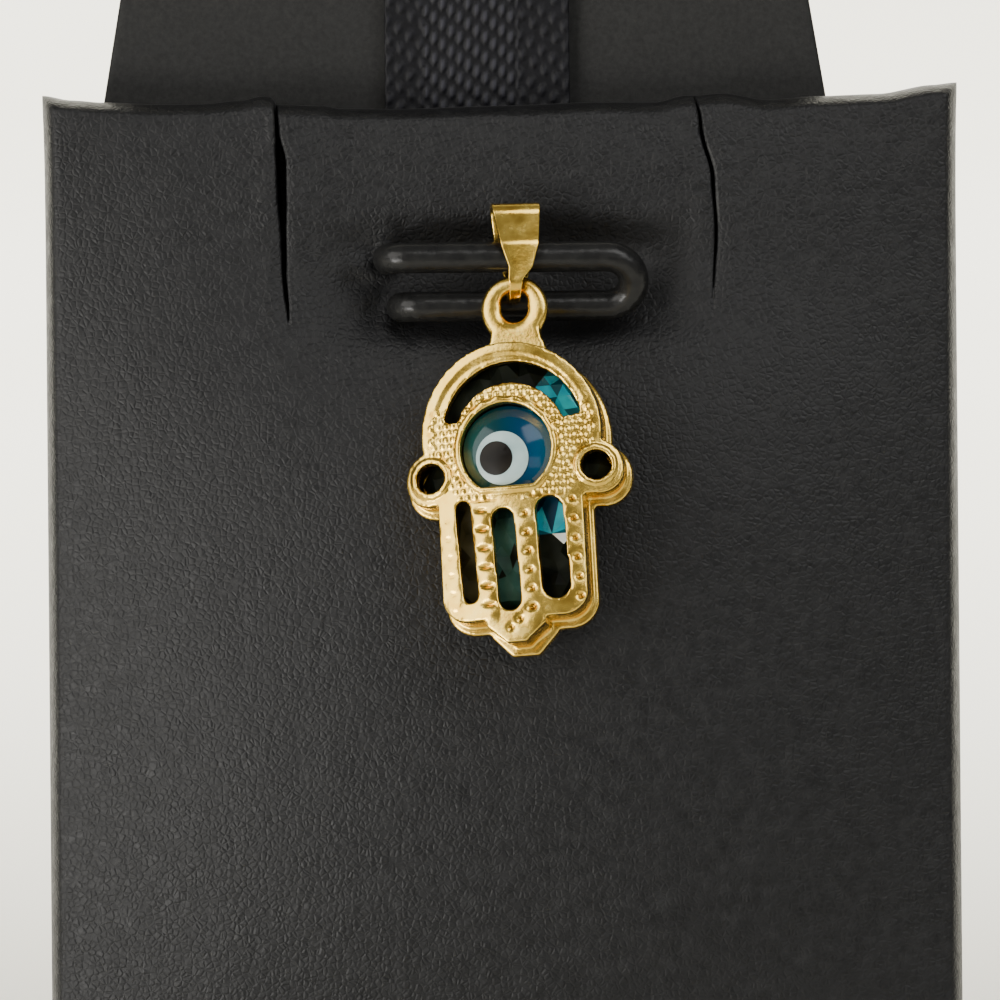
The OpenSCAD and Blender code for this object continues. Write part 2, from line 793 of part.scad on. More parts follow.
module glass_core() {
    dome_in = dome_r - core_margin;
    left = core_margin - finger_left;
    right = finger_right - core_margin;
    low = core_margin - finger_drop + 2 * glass_clear;
    fingers = [
        [left, core_cut / 2],
        [left, low + core_cut],
        [left + core_cut, low],
        [right - core_cut, low],
        [right, low + core_cut],
        [right, core_cut / 2]
    ];
    thumb_in = thumb_boss_r - core_margin - 2 * glass_clear;
    thumbs = [
        for (side = [-1, 1])
            for (a = side < 0 ? [120, 180, 240] : [-60, 0, 60])
                [side * thumb_x + thumb_in * cos(a), -thumb_y - thumb_l / 2 + thumb_in * sin(a)]
    ];
    color(teal_glass)
    in_hand()
    difference() {
        union() {
            cut_lobe([for (k = [0:11]) dome_in * [cos(30 * k + 15), sin(30 * k + 15)]], [0, 0], core_table);
            cut_lobe(fingers, [finger_mid, -finger_drop / 2], core_table);
            cut_lobe(thumbs, [0, -thumb_y], core_table - 0.7);
        }
        translate([eye_x, eye_y, eye_back - glass_clear])
        cylinder(r = eye_r + glass_clear, h = case_d, $fn = 96);
    }
}

// Dome of the eye, raised a little for the inlays.
module eye_dome(up) {
    translate([eye_x, eye_y, eye_top + up - eye_dome_r]) sphere(r = eye_dome_r, $fn = 128);
}

white_x = eye_x - white_left;
white_y = eye_y - white_down;
pupil_x = white_x - pupil_left;
white_z = eye_top - 2 * inlay_d - 0.15;
pupil_z = eye_top - inlay_d - 0.15;

module eye_glass() {
    color([0.0, 0.2, 0.5])
    in_hand()
    difference() {
        intersection() {
            translate([0, 0, eye_back]) linear_extrude(2 * case_d) eye_shape(-glass_clear);
            eye_dome(0);
        }
        translate([white_x, white_y, white_z]) cylinder(r = white_r, h = case_d);
    }
}

module eye_white() {
    color([0.9, 0.93, 0.96])
    in_hand()
    difference() {
        intersection() {
            translate([white_x, white_y, white_z + 0.02]) cylinder(r = white_r - 0.02, h = case_d);
            eye_dome(0.05);
        }
        translate([pupil_x, white_y, pupil_z]) cylinder(r = pupil_r, h = case_d);
    }
}

module eye_pupil() {
    color([0.08, 0.05, 0.05])
    in_hand()
    intersection() {
        translate([pupil_x, white_y, pupil_z + 0.02]) cylinder(r = pupil_r - 0.02, h = case_d);
        eye_dome(0.1);
    }
}

back_board();
pad();
ribbon();
hanging_loop();
bail();
casing();
glass_core();
eye_glass();
eye_white();
eye_pupil();
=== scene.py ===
import math

import bpy
import numpy as np
from mathutils import Matrix, Vector, noise
from mathutils.geometry import delaunay_2d_cdt


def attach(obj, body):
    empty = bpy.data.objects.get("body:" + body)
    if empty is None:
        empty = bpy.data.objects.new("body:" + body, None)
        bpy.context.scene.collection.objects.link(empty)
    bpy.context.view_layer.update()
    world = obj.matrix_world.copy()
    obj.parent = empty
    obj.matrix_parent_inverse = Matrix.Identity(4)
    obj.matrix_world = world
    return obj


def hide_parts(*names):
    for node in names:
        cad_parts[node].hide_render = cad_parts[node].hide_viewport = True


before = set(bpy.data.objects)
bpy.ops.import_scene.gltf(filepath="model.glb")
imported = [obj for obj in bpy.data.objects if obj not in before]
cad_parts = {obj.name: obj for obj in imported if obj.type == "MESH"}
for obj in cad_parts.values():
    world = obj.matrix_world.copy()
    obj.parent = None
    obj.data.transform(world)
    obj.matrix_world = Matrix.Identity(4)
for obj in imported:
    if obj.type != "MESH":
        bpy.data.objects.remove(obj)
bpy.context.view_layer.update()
MM = 0.001

# Pad frame: x to the right, y up along the pad, z out of its front. All sizes here are in millimetres.
PAD_W, PAD_H = 57.6, 70.0
PAD_EDGE_T, PAD_CROWN, PAD_ROLL, PAD_CORNER = 4.0, 4.5, 0.95, 0.16
DIP_DEPTH, DIP_X, DIP_Y = 1.8, 17.0, 7.0
LEAN = math.radians(15)
SEAT = Vector((0.0, -12.0, 3.2))
STRAND_DOWN = 12.9
HINGE = Vector((0.75, 58.4, 8.39816))
BAIL_PITCH, BAIL_YAW, ROLL = 11.743, 7.0, 4.5
HAND_PITCH, HAND_YAW = 10.7454, 10.0
DOME = Vector((-0.3, -9.81, 0.0))


def rot(x, y, z):
    """Turns about x, then y, then z, in degrees."""
    turns = [Matrix.Rotation(math.radians(a), 4, axis) for a, axis in ((x, "X"), (y, "Y"), (z, "Z"))]
    return turns[2] @ turns[1] @ turns[0]


PAD = Matrix.Scale(MM, 4) @ Matrix.Translation(SEAT) @ rot(90 - math.degrees(LEAN), 0, 0)
BAIL = PAD @ Matrix.Translation(HINGE) @ rot(-BAIL_PITCH, BAIL_YAW, ROLL)
HAND = PAD @ Matrix.Translation(HINGE) @ rot(-HAND_PITCH, -HAND_YAW, ROLL) @ Matrix.Translation(DOME)


def new_piece(name, verts, faces, place, smooth=True):
    """An object from points and faces in millimetres, placed by a matrix."""
    mesh = bpy.data.meshes.new(name)
    mesh.from_pydata([tuple(v) for v in verts], [], [tuple(f) for f in faces])
    mesh.transform(place)
    mesh.update()
    piece = bpy.data.objects.new(name, mesh)
    bpy.context.scene.collection.objects.link(piece)
    mesh.polygons.foreach_set("use_smooth", [smooth] * len(mesh.polygons))
    return piece


def mark(mesh, name, values):
    """Stores a value at each of a mesh's first points, and 0 at the rest."""
    stored = np.zeros(len(mesh.vertices), np.float32)
    stored[: len(values)] = values
    mesh.attributes.new(name, "FLOAT", "POINT").data.foreach_set("value", stored)


def stand_for(piece, node, body, material):
    """Puts a piece in place of a CAD node, with its material, and lets it ride the node's body."""
    piece.data.materials.clear()
    piece.data.materials.append(material)
    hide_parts(node)
    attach(piece, body)


# Camera: square to the pad, far away, with the pad turned half a degree as in the photograph.
FRAME_MM, CAMERA_OFF, PLANE = 62.5, 450.0, 6.0
SENSOR, CAMERA_X, CAMERA_Y, CAMERA_ROLL = 36.0, -0.19, 45.0, -0.5
camera_data = bpy.data.cameras.new("camera")
camera_data.sensor_width = SENSOR
camera_data.lens = SENSOR * CAMERA_OFF / FRAME_MM
camera_data.clip_start = 0.01
camera_data.clip_end = 20.0
camera = bpy.data.objects.new("camera", camera_data)
camera.matrix_world = (
    Matrix.Translation(PAD @ Vector((CAMERA_X, CAMERA_Y, PLANE + CAMERA_OFF)))
    @ rot(90 - math.degrees(LEAN), 0, 0)
    @ rot(0, 0, CAMERA_ROLL)
)
bpy.context.scene.collection.objects.link(camera)
bpy.context.scene.camera = camera


# Materials
def grey(value):
    """A colour with the same red, green and blue."""
    return (value, value, value)


def material(name):
    """A new material, its nodes and links, its main shader and the piece's own coordinates."""
    made = bpy.data.materials.new(name)
    made.use_nodes = True
    nodes, links = made.node_tree.nodes, made.node_tree.links
    return made, nodes, links, nodes["Principled BSDF"], nodes.new("ShaderNodeTexCoord").outputs["Object"]


def ramp(nodes, links, source, stops):
    """The colour that a ramp of (position, colour) stops gives for a value."""
    made = nodes.new("ShaderNodeValToRGB")
    for end in (0, -1):
        made.color_ramp.elements[end].position = stops[end][0]
        made.color_ramp.elements[end].color = (*stops[end][1], 1)
    for place, color in stops[1:-1]:
        made.color_ramp.elements.new(place).color = (*color, 1)
    links.new(source, made.inputs["Fac"])
    return made.outputs["Color"]


def texture(nodes, links, kind, coords, scale_per_mm, **values):
    """A procedural texture node, with its scale in features per millimetre."""
    made = nodes.new(kind)
    made.inputs["Scale"].default_value = scale_per_mm / MM
    for key, value in values.items():
        if key in made.inputs:
            made.inputs[key].default_value = value
        else:
            setattr(made, key, value)
    links.new(coords, made.inputs["Vector"])
    return made


def clouds(nodes, links, coords, scale_per_mm, **values):
    """Soft noise, 0 to 1."""
    return texture(nodes, links, "ShaderNodeTexNoise", coords, scale_per_mm, **values).outputs["Fac"]


def bump(nodes, links, shader, height, depth_mm, strength=1.0, before=None):
    """A bump on a shader, on top of an earlier one if that is given."""
    made = nodes.new("ShaderNodeBump")
    made.inputs["Distance"].default_value = depth_mm * MM
    made.inputs["Strength"].default_value = strength
    links.new(height, made.inputs["Height"])
    if before is not None:
        links.new(before.outputs["Normal"], made.inputs["Normal"])
    links.new(made.outputs["Normal"], shader.inputs["Normal"])
    return made


def finished(shader, rough, shine):
    """Sets how rough and how shiny a shader is."""
    shader.inputs["Roughness"].default_value = rough
    shader.inputs["Specular IOR Level"].default_value = shine


def toward(nodes, links, color, attribute, target):
    """Moves a colour towards another by a vertex attribute, 0 to 1."""
    share = nodes.new("ShaderNodeAttribute")
    share.attribute_name = attribute
    mixed = nodes.new("ShaderNodeMix")
    mixed.data_type = "RGBA"
    mixed.inputs["B"].default_value = (*target, 1)
    links.new(share.outputs["Fac"], mixed.inputs["Factor"])
    links.new(color, mixed.inputs["A"])
    return mixed.outputs["Result"]


CREASE_TURN, CREASE_STRETCH = math.radians(35), (0.6, 1.0, 1.0)
LEATHER_TONES = [
    (0.3, (0.0036, 0.0037, 0.0041)),
    (0.55, (0.0064, 0.0065, 0.007)),
    (0.75, (0.0115, 0.0117, 0.0122)),
]


def leatherette():
    """Black leatherette: soft folds, slanting creases and pores, paler at its raw edges, with painted shade
    round the loop, where it is also rougher.
    """
    made, nodes, links, shader, coords = material("leatherette")
    cloud = clouds(nodes, links, coords, 1.1, Detail=4.0, Roughness=0.62)
    tone = ramp(nodes, links, cloud, LEATHER_TONES)
    # Painted shade round the loop darkens the leatherette there.
    color = toward(nodes, links, tone, "loop_shade", (0.0025, 0.0025, 0.003))
    color = toward(nodes, links, color, "edge", (0.035, 0.035, 0.034))
    links.new(color, shader.inputs["Base Color"])
    folds = clouds(nodes, links, coords, 1.5, Detail=2.0, Roughness=0.55)
    soft = bump(nodes, links, shader, folds, 0.08, 0.8)
    turned = nodes.new("ShaderNodeMapping")
    turned.inputs["Rotation"].default_value = (0.0, CREASE_TURN, 0.0)
    turned.inputs["Scale"].default_value = CREASE_STRETCH
    links.new(coords, turned.inputs["Vector"])
    slanting = turned.outputs["Vector"]
    creases = clouds(nodes, links, slanting, 2.6, Detail=2.0, Roughness=0.5)
    first = bump(nodes, links, shader, creases, 0.04, 0.7, soft)
    pores = texture(nodes, links, "ShaderNodeTexVoronoi", coords, 2.6, feature="DISTANCE_TO_EDGE")
    cells = ramp(nodes, links, pores.outputs["Distance"], [(0.0, grey(0)), (0.25, grey(1))])
    bump(nodes, links, shader, cells, 0.028, 0.8, first)
    gloss = ramp(nodes, links, cloud, [(0.3, grey(0.42)), (0.7, grey(0.58))])
    rough = toward(nodes, links, gloss, "loop_shade", grey(0.85))
    links.new(rough, shader.inputs["Roughness"])
    shader.inputs["Specular IOR Level"].default_value = 0.28
    return made


CARD_TONES = [(0.35, (0.012, 0.0121, 0.0117)), (0.65, (0.02, 0.0201, 0.0193))]
RIBBON_TONES = [(0.35, (0.001, 0.001, 0.0018)), (0.7, (0.004, 0.004, 0.006))]
CORD_TONES = [(0.3, (0.007, 0.007, 0.007)), (0.7, (0.013, 0.013, 0.0125))]


def card():
    """Matte black card."""
    made, nodes, links, shader, coords = material("matte_card")
    fibre = clouds(nodes, links, coords, 3.0, Detail=5.0, Roughness=0.7)
    tone = ramp(nodes, links, fibre, CARD_TONES)
    links.new(tone, shader.inputs["Base Color"])
    bump(nodes, links, shader, fibre, 0.03, 0.6)
    finished(shader, 0.7, 0.2)
    return made


def woven():
    """Black ribbon, with a painted sheen where its threads lie raised."""
    made, nodes, links, shader, coords = material("woven_ribbon")
    fleck = clouds(nodes, links, coords, 2.4, Detail=3.0, Roughness=0.6)
    tone = ramp(nodes, links, fleck, RIBBON_TONES)
    # Painted sheen: the raised threads are paler.
    color = toward(nodes, links, tone, "float", (0.026, 0.026, 0.033))
    links.new(color, shader.inputs["Base Color"])
    thread = clouds(nodes, links, coords, 9.0, Detail=2.0)
    bump(nodes, links, shader, thread, 0.03, 0.6)
    finished(shader, 0.5, 0.2)
    return made


def cord():
    """Glossy black plastic cord."""
    made, nodes, links, shader, coords = material("glossy_cord")
    skin = clouds(nodes, links, coords, 1.6, Detail=3.0)
    tone = ramp(nodes, links, skin, CORD_TONES)
    links.new(tone, shader.inputs["Base Color"])
    bump(nodes, links, shader, skin, 0.08, 0.6)
    finished(shader, 0.27, 0.24)
    return made


GOLD_TONES = [(0.3, (0.72, 0.44, 0.07)), (0.55, (0.85, 0.57, 0.11)), (0.75, (0.94, 0.67, 0.17))]
RELIEF_TONES = [(0.0, (0.14, 0.09, 0.04)), (0.5, (0.66, 0.56, 0.4)), (0.8, grey(1))]


def gold(name, with_relief):
    """Worn yellow gold, darker in the low places of its relief, with painted shade below its front plate."""
    made, nodes, links, shader, coords = material(name)
    cloud = clouds(nodes, links, coords, 0.9, Detail=4.0, Roughness=0.6)
    color = ramp(nodes, links, cloud, GOLD_TONES)
    if with_relief:
        relief = nodes.new("ShaderNodeAttribute")
        relief.attribute_name = "relief"
        dark = ramp(nodes, links, relief.outputs["Fac"], RELIEF_TONES)
        mixed = nodes.new("ShaderNodeMix")
        mixed.data_type = "RGBA"
        mixed.blend_type = "MULTIPLY"
        mixed.inputs["Factor"].default_value = 1.0
        links.new(color, mixed.inputs["A"])
        links.new(dark, mixed.inputs["B"])
        color = mixed.outputs["Result"]
    links.new(color, shader.inputs["Base Color"])
    skin = clouds(nodes, links, coords, 5.0, Detail=3.0)
    bump(nodes, links, shader, skin, 0.018, 0.6)
    wear = ramp(nodes, links, cloud, [(0.3, grey(0.17)), (0.7, grey(0.3))])
    links.new(wear, shader.inputs["Roughness"])
    shader.inputs["Metallic"].default_value = 1.0
    return made


def glass(name, tones, rough, shine, place=None):
    """Deep coloured glass: its tone changes slowly through the piece, or from one side to the other."""
    made, nodes, links, shader, coords = material(name)
    source = clouds(nodes, links, coords, 0.6, Detail=2.0)
    if place is not None:
        start, direction, length = place
        along = nodes.new("ShaderNodeVectorMath")
        along.operation = "DOT_PRODUCT"
        moved = nodes.new("ShaderNodeVectorMath")
        moved.operation = "SUBTRACT"
        moved.inputs[1].default_value = start
        links.new(coords, moved.inputs[0])
        links.new(moved.outputs["Vector"], along.inputs[0])
        along.inputs[1].default_value = direction
        share = nodes.new("ShaderNodeMath")
        share.operation = "MULTIPLY_ADD"
        share.inputs[1].default_value = 1 / length
        share.inputs[2].default_value = 0.5
        links.new(along.outputs["Value"], share.inputs[0])
        source = share.outputs["Value"]
    links.new(ramp(nodes, links, source, tones), shader.inputs["Base Color"])
    finished(shader, rough, shine)
    return made


# Pad: the leatherette's surface, finer than the solid, with its rolled edge, two slits and hollow.
# Each slit has its line, from the top down, and the half width of its opening at places along it.
SLITS = (
    {
        "line": [(71.0, -14.2), (68.5, -14.0), (66.0, -13.75), (60.0, -13.6), (55.6, -13.3)],
        "open": [
            (71.0, 0.1), (68.0, 0.12), (66.5, 0.3), (64.0, 0.27),
            (61.5, 0.15), (58.5, 0.11), (55.6, 0.0),
        ],
        "curl": 0.1,
        "frayed": (67.3, 71.0),
    },
    {
        "line": [(71.0, 12.2), (68.5, 12.6), (65.0, 13.35), (62.0, 13.5), (56.4, 13.25)],
        "open": [(71.0, 0.04), (66.0, 0.09), (62.0, 0.07), (56.4, 0.0)],
        "curl": 0.06,
        "frayed": (62.0, 67.5),
    },
)
# Height of the pad's uneven top edge at places across it, from left to right.
TOP_EDGE = [
    (-28.8, 70.75), (-27.0, 70.48), (-25.0, 70.35), (-21.2, 70.2), (-18.7, 70.22), (-16.4, 70.42),
    (-14.9, 70.68), (-14.5, 70.62), (-14.1, 70.12), (-13.7, 70.12), (-11.0, 70.04), (-10.2, 69.85),
    (-6.4, 69.8), (0.0, 69.95), (6.0, 70.12), (9.8, 70.1), (11.7, 70.5), (12.2, 70.5),
    (14.0, 70.62), (16.9, 70.18), (20.0, 70.38), (23.8, 70.48), (27.3, 70.98), (28.8, 71.1),
]
CROWN_POWER, DIP_AT, LOW_EDGE_RISE = 2.2, PAD_H - STRAND_DOWN + 1.5, 0.5
# Hollow that the loop's ends draw in, the painted shade round it, and the puckers that radiate from its left
# end.
PIT_DEPTH, PIT_X, PIT_Y, PIT_AT = 1.4, 9.9, 3.3, (0.4, 58.7)
SHADE, SHADE_X, SHADE_Y = 0.1, 11.2, 4.4
PUCKERS, PUCKER_H, PUCKER_LEFT, PUCKER_R, PUCKER_WIDE = 7, 0.16, 7.0, 2.4, 1.3
# Beside a slit: how far its line pulls the surface, its rounded lips, the swelling and the puckers.
SLIT_REACH, SLIT_END, LIP_W, LIP_DROP, GAP_SOFT, SLIT_FLOOR = 2.2, 1.0, 0.25, 0.16, 0.07, 0.7
PUFF_H, PUFF_AT, PUFF_WIDE = 0.04, 1.0, 0.5
CURL_AT, CURL_WIDE, CURL_FROM, CURL_OVER = 0.42, 0.26, 67.0, 1.2
FOLD_H, FOLD_PITCH, FOLD_SLANT = 0.045, 0.85, 0.25
FOLD_AT, FOLD_WIDE = (1.1, 64.4), (0.7, 2.4)
# Pale raw edge round the pad and along the frayed parts of the slits.
EDGE_LINE, EDGE_SOFT, FRAY_SHARE, FRAY_END = 0.15, 0.08, 0.75, 0.3
FRAY_WIDE, FRAY_MEAN, FRAY_SWING = 1.6, 0.65, 0.6
# Steps of the pad's mesh: fine beside the slits and in its upper part.
STEP, STEP_AT_SLIT, STEP_DOWN, STEP_UP, FINE_FROM = 0.36, 0.065, 0.4, 0.22, 52.0
SLIT_BANDS = ((-15.2, -12.6), (12.2, 14.4))
ROLL_STEPS, WOBBLE_H, WOBBLE_PER_MM = 12, 0.05, 0.16
BACK_RINGS, BACK_EDGE_Z = (0.985, 0.93, 0.6, 0.25), 0.06


def portion(value, whole):
    """A value as a portion of the whole, held between 0 and 1."""
    return np.clip(value / whole, 0, 1)


def eased(x, table):
    """Value of a table at x, with eased steps between its rows."""
    xs, ys = np.array(sorted(table)).T
    i = np.clip(np.searchsorted(xs, x) - 1, 0, len(xs) - 2)
    t = portion(x - xs[i], xs[i + 1] - xs[i])
    t = t * t * (3 - 2 * t)
    return ys[i] + (ys[i + 1] - ys[i]) * t


def rolled(d):
    """Share of the full height at a distance from the edge: a quarter round."""
    s = portion(d, PAD_ROLL)
    return np.sqrt(np.maximum(0, 1 - (1 - s) ** 2))


def pad_height(x, y, top, low):
    """Height of the padding's front: crowned, dipped behind the loop and rolled at its edges."""
    hollow = DIP_DEPTH * np.exp(-((x / DIP_X) ** 2) - ((y - DIP_AT) / DIP_Y) ** 2)
    across = 1 - np.abs(2 * x / PAD_W) ** CROWN_POWER
    along = 1 - np.minimum(1, np.abs(2 * y / PAD_H - 1)) ** CROWN_POWER
    crown = PAD_CROWN * across * along
    side = rolled(PAD_W / 2 - np.abs(x))
    end = rolled(np.minimum(top - y, y - low))
    return side * end * (PAD_EDGE_T + crown - hollow)


def pit(x, y):
    """Depth that the leatherette is drawn in round the loop, with puckers at its left end."""
    dx, dy = x - PIT_AT[0], y - PIT_AT[1]
    drawn = PIT_DEPTH * np.exp(-((dx / PIT_X) ** 4) - (dy / PIT_Y) ** 4)
    from_left = dx + PUCKER_LEFT
    angle = np.arctan2(dy, -from_left)
    away = np.hypot(from_left, dy)
    puckers = PUCKER_H * np.cos(PUCKERS * angle) * np.exp(-(((away - PUCKER_R) / PUCKER_WIDE) ** 2))
    return drawn + puckers * (from_left < 1.0)


def spaced(stops):
    """Positions from a list of (end, step) runs, from the first end on."""
    out = [stops[0][0]]
    for end, step in stops[1:]:
        n = max(1, round((end - out[-1]) / step))
        out += list(np.linspace(out[-1], end, n + 1)[1:])
    return np.array(out)


def edge_steps(n):
    """Distances from an edge, closer where the roll is steep."""
    return PAD_ROLL * (1 - np.cos(np.linspace(0, math.pi / 2, n)))


def slit_shape(x, y, z, slit):
    """Sideways shift and new height of the surface at a slit: an opening, its lips and a curled edge."""
    line = eased(y, slit["line"])
    foot, end = min(slit["line"])
    shift = (line - end) * np.exp(-(((x - end) / SLIT_REACH) ** 2))
    side = x + shift - line
    u = np.abs(side)
    open_here = portion(y - foot, SLIT_END)
    gap = eased(y, slit["open"])
    lip = portion(gap + LIP_W - u, LIP_W)
    drop = LIP_DROP * (1 - np.sqrt(np.maximum(0, 1 - lip**2)))
    deep = portion(gap - u, GAP_SOFT)
    puff = PUFF_H * np.exp(-(((u - PUFF_AT) / PUFF_WIDE) ** 2))
    curled = portion(y - CURL_FROM, CURL_OVER)
    raised = slit["curl"] * np.exp(-(((side + CURL_AT) / CURL_WIDE) ** 2)) * curled
    drawn = np.exp(-(((u - FOLD_AT[0]) / FOLD_WIDE[0]) ** 2) - ((y - FOLD_AT[1]) / FOLD_WIDE[1]) ** 2)
    folds = FOLD_H * drawn * np.cos(2 * math.pi * (y + FOLD_SLANT * side) / FOLD_PITCH)
    z = z + open_here * (puff + folds + raised * (z > 1) - drop) * portion(z, 2)
    return shift, z - open_here * deep * np.maximum(0, z - SLIT_FLOOR)


def top_shift(x, slit):
    """Sideways shift that a slit gives the top edge."""
    end = min(slit["line"])[1]
    return (slit["line"][0][1] - end) * np.exp(-(((x - end) / SLIT_REACH) ** 2))


def frayed_lip(x, y, slit):
    """Share of pale raw edge along a slit's side, broken up along its length."""
    from_slit = x - eased(y, slit["line"])
    gap = eased(y, slit["open"])
    side = -1 if slit["line"][0][1] < 0 else 1
    foot, top = slit["frayed"]
    lip = np.clip(FRAY_WIDE - np.abs(side * from_slit - gap - EDGE_SOFT) / EDGE_SOFT, 0, 1)
    broken = np.clip(FRAY_MEAN + FRAY_SWING * np.sin(5.2 * y) * np.sin(3.1 * y + 1.0), 0, 1)
    return lip * broken * portion(y - foot, FRAY_END) * portion(top - y, FRAY_END)


def wobble(x, y):
    """Slow unevenness of the padding, about -1 to 1."""
    places = zip((x * WOBBLE_PER_MM).ravel(), (y * WOBBLE_PER_MM).ravel())
    return np.array([noise.fractal(Vector((a, b, 3.1)), 1.0, 2.0, 3) for a, b in places]).reshape(x.shape)


def pad_surface():
    """Points of the pad's front in rows from the foot up, and the tones marked on them: pale edges and
    painted shade round the loop.
    """
    half = PAD_W / 2
    rim = edge_steps(ROLL_STEPS)
    runs = [(-half + PAD_ROLL, STEP)]
    for start, end in SLIT_BANDS:
        runs += [(start, STEP), (end, STEP_AT_SLIT)]
    runs.append((half - PAD_ROLL, STEP))
    inner = spaced(runs)
    xs = np.concatenate([-half + rim[:-1], inner, (half - rim[:-1])[::-1]])
    rows = spaced([(PAD_ROLL, STEP_DOWN), (FINE_FROM, STEP_DOWN), (PAD_H - PAD_ROLL, STEP_UP)])
    ts = np.concatenate([rim[:-1], rows, (PAD_H - rim[:-1])[::-1]]) / PAD_H
    x, t = np.meshgrid(xs, ts)
    low = LOW_EDGE_RISE * (1 - (x / half) ** 2)
    top = eased(x + sum(top_shift(x, slit) for slit in SLITS), TOP_EDGE)
    y = low + (top - low) * t
    z = pad_height(x, y, top, low) - pit(x, y)
    moved = x.copy()
    for slit in SLITS:
        shift, z = slit_shape(x, y, z, slit)
        moved += shift
    z = np.maximum(0, z + WOBBLE_H * wobble(x, y) * portion(z, 4))
    pull = PAD_CORNER * np.abs((x / half) * (2 * t - 1)) ** 12
    moved = moved + np.sign(x) * pull
    y = y + np.sign(t - 0.5) * pull * 0.6
    inset = np.minimum(half - np.abs(x), np.minimum(top - y, y - low))
    edge = portion(EDGE_LINE - inset, EDGE_SOFT)
    for slit in SLITS:
        edge = np.maximum(edge, FRAY_SHARE * frayed_lip(moved, y, slit))
    # Painted shade round the loop, wider than its hollow.
    loop_shade = SHADE * np.exp(-(((x - PIT_AT[0]) / SHADE_X) ** 4) - ((y - PIT_AT[1]) / SHADE_Y) ** 4)
    return (moved, y, z), {"edge": edge, "loop_shade": loop_shade}


def grid_faces(rows, cols, flip=False):
    """Four-sided faces between the points of a grid, numbered row by row."""
    a = (np.arange(rows - 1)[:, None] * cols + np.arange(cols - 1)[None, :]).ravel()
    quads = np.stack([a, a + 1, a + cols + 1, a + cols], axis=1)
    return quads[:, ::-1] if flip else quads


def build_pad():
    """The pad as one closed form: its shaped front and a flat back of shrinking rings."""
    (x, y, z), marked = pad_surface()
    rows, cols = x.shape
    verts = np.stack([x, y, z], axis=-1).reshape(-1, 3)
    faces = [tuple(f) for f in grid_faces(rows, cols)]
    rim = (
        list(range(cols))
        + [j * cols + cols - 1 for j in range(1, rows)]
        + [(rows - 1) * cols + i for i in range(cols - 2, -1, -1)]
        + [j * cols for j in range(rows - 2, 0, -1)]
    )
    centre = np.array([0.0, PAD_H / 2, 0.0])
    rings = [rim]
    points = list(verts)
    for share in BACK_RINGS:
        ring = []
        for k in rim:
            p = centre + (verts[k] - centre) * share
            p[2] = BACK_EDGE_Z if share == BACK_RINGS[0] else 0.0
            ring.append(len(points))
            points.append(p)
        rings.append(ring)
    for outer, inner in zip(rings, rings[1:]):
        for k in range(len(rim)):
            n = (k + 1) % len(rim)
            faces.append((outer[n], outer[k], inner[k], inner[n]))
    middle = len(points)
    points.append(centre)
    last = rings[-1]
    for k in range(len(rim)):
        faces.append((last[(k + 1) % len(rim)], last[k], middle))
    piece = new_piece("pad_leatherette", points, faces, PAD)
    for name, values in marked.items():
        mark(piece.data, name, values.ravel())
    return piece


pad = build_pad()
stand_for(pad, "pad", "stand", leatherette())


# Hanging loop: a round cord along the same route as the solid.
CORD_R, LOOP_BEND, LOOP_SET = 0.95, 1.2, 2.5
LOOP_LEFT, LOOP_RIGHT, LOOP_STEP = 8.0, 9.2, 0.8
STRAND_GAP, LOOP_TILT = 3.4, math.radians(28)
LOWER_Y, LOWER_Z = 57.1, 6.44815
CORD_SIDES, LEG_STEPS, BEND_STEPS, STRAND_STEPS, TURN_STEPS = 28, 8, 14, 40, 28
PLAIN_TOP, PLAIN_LOW = 69.9, 0.5


def sweep(route, radius, sides):
    """Points and faces of a round tube along a route, turned as little as possible."""
    route = np.array(route, float)
    tangent = np.gradient(route, axis=0)
    tangent /= np.linalg.norm(tangent, axis=1)[:, None]
    normal = np.array([1.0, 0.0, 0.0])
    points, faces = [], []
    for p, d in zip(route, tangent):
        normal = normal - d * normal.dot(d)
        normal /= np.linalg.norm(normal)
        side = np.cross(d, normal)
        for k in range(sides):
            a = 2 * math.pi * k / sides
            points.append(p + radius * (math.cos(a) * normal + math.sin(a) * side))
    for i in range(len(route) - 1):
        for k in range(sides):
            a, b = i * sides + k, i * sides + (k + 1) % sides
            faces.append((a, b, b + sides, a + sides))
    faces.append(tuple(range(sides))[::-1])
    faces.append(tuple((len(route) - 1) * sides + k for k in range(sides)))
    return points, faces


def build_loop():
    """A hairpin: in from one end's leg, along the lower strand, round and back along the upper one."""
    dy, dz = STRAND_GAP * math.cos(LOOP_TILT), STRAND_GAP * math.sin(LOOP_TILT)
    turn = STRAND_GAP / 2
    turn_x = LOOP_RIGHT - turn - CORD_R
    route = []
    for k in (0, 1):
        foot = (-LOOP_LEFT + CORD_R + (1 - k) * LOOP_STEP, LOWER_Y + k * dy)
        top = LOWER_Z + k * dz
        floor = pad_height(np.array(foot[0]), np.array(foot[1]), PLAIN_TOP, PLAIN_LOW) - LOOP_SET
        leg = [(foot[0], foot[1], z) for z in np.linspace(float(floor), top - LOOP_BEND, LEG_STEPS)[:-1]]
        for a in np.linspace(math.pi, math.pi / 2, BEND_STEPS):
            x = foot[0] + LOOP_BEND * (1 + math.cos(a))
            leg.append((x, foot[1], top + LOOP_BEND * (math.sin(a) - 1)))
        run = [(x, foot[1], top) for x in np.linspace(leg[-1][0], turn_x, STRAND_STEPS)[1:]]
        legs = leg + run
        if k == 0:
            route += legs
            for a in np.linspace(-math.pi / 2, math.pi / 2, TURN_STEPS)[1:-1]:
                up = turn * (1 + math.sin(a))
                y, z = LOWER_Y + up * math.cos(LOOP_TILT), LOWER_Z + up * math.sin(LOOP_TILT)
                route.append((turn_x + turn * math.cos(a), y, z))
        else:
            route += legs[::-1]
    points, faces = sweep(route, CORD_R, CORD_SIDES)
    return new_piece("hanging_loop_cord", points, faces, PAD)


loop = build_loop()
stand_for(loop, "hanging_loop", "stand", cord())


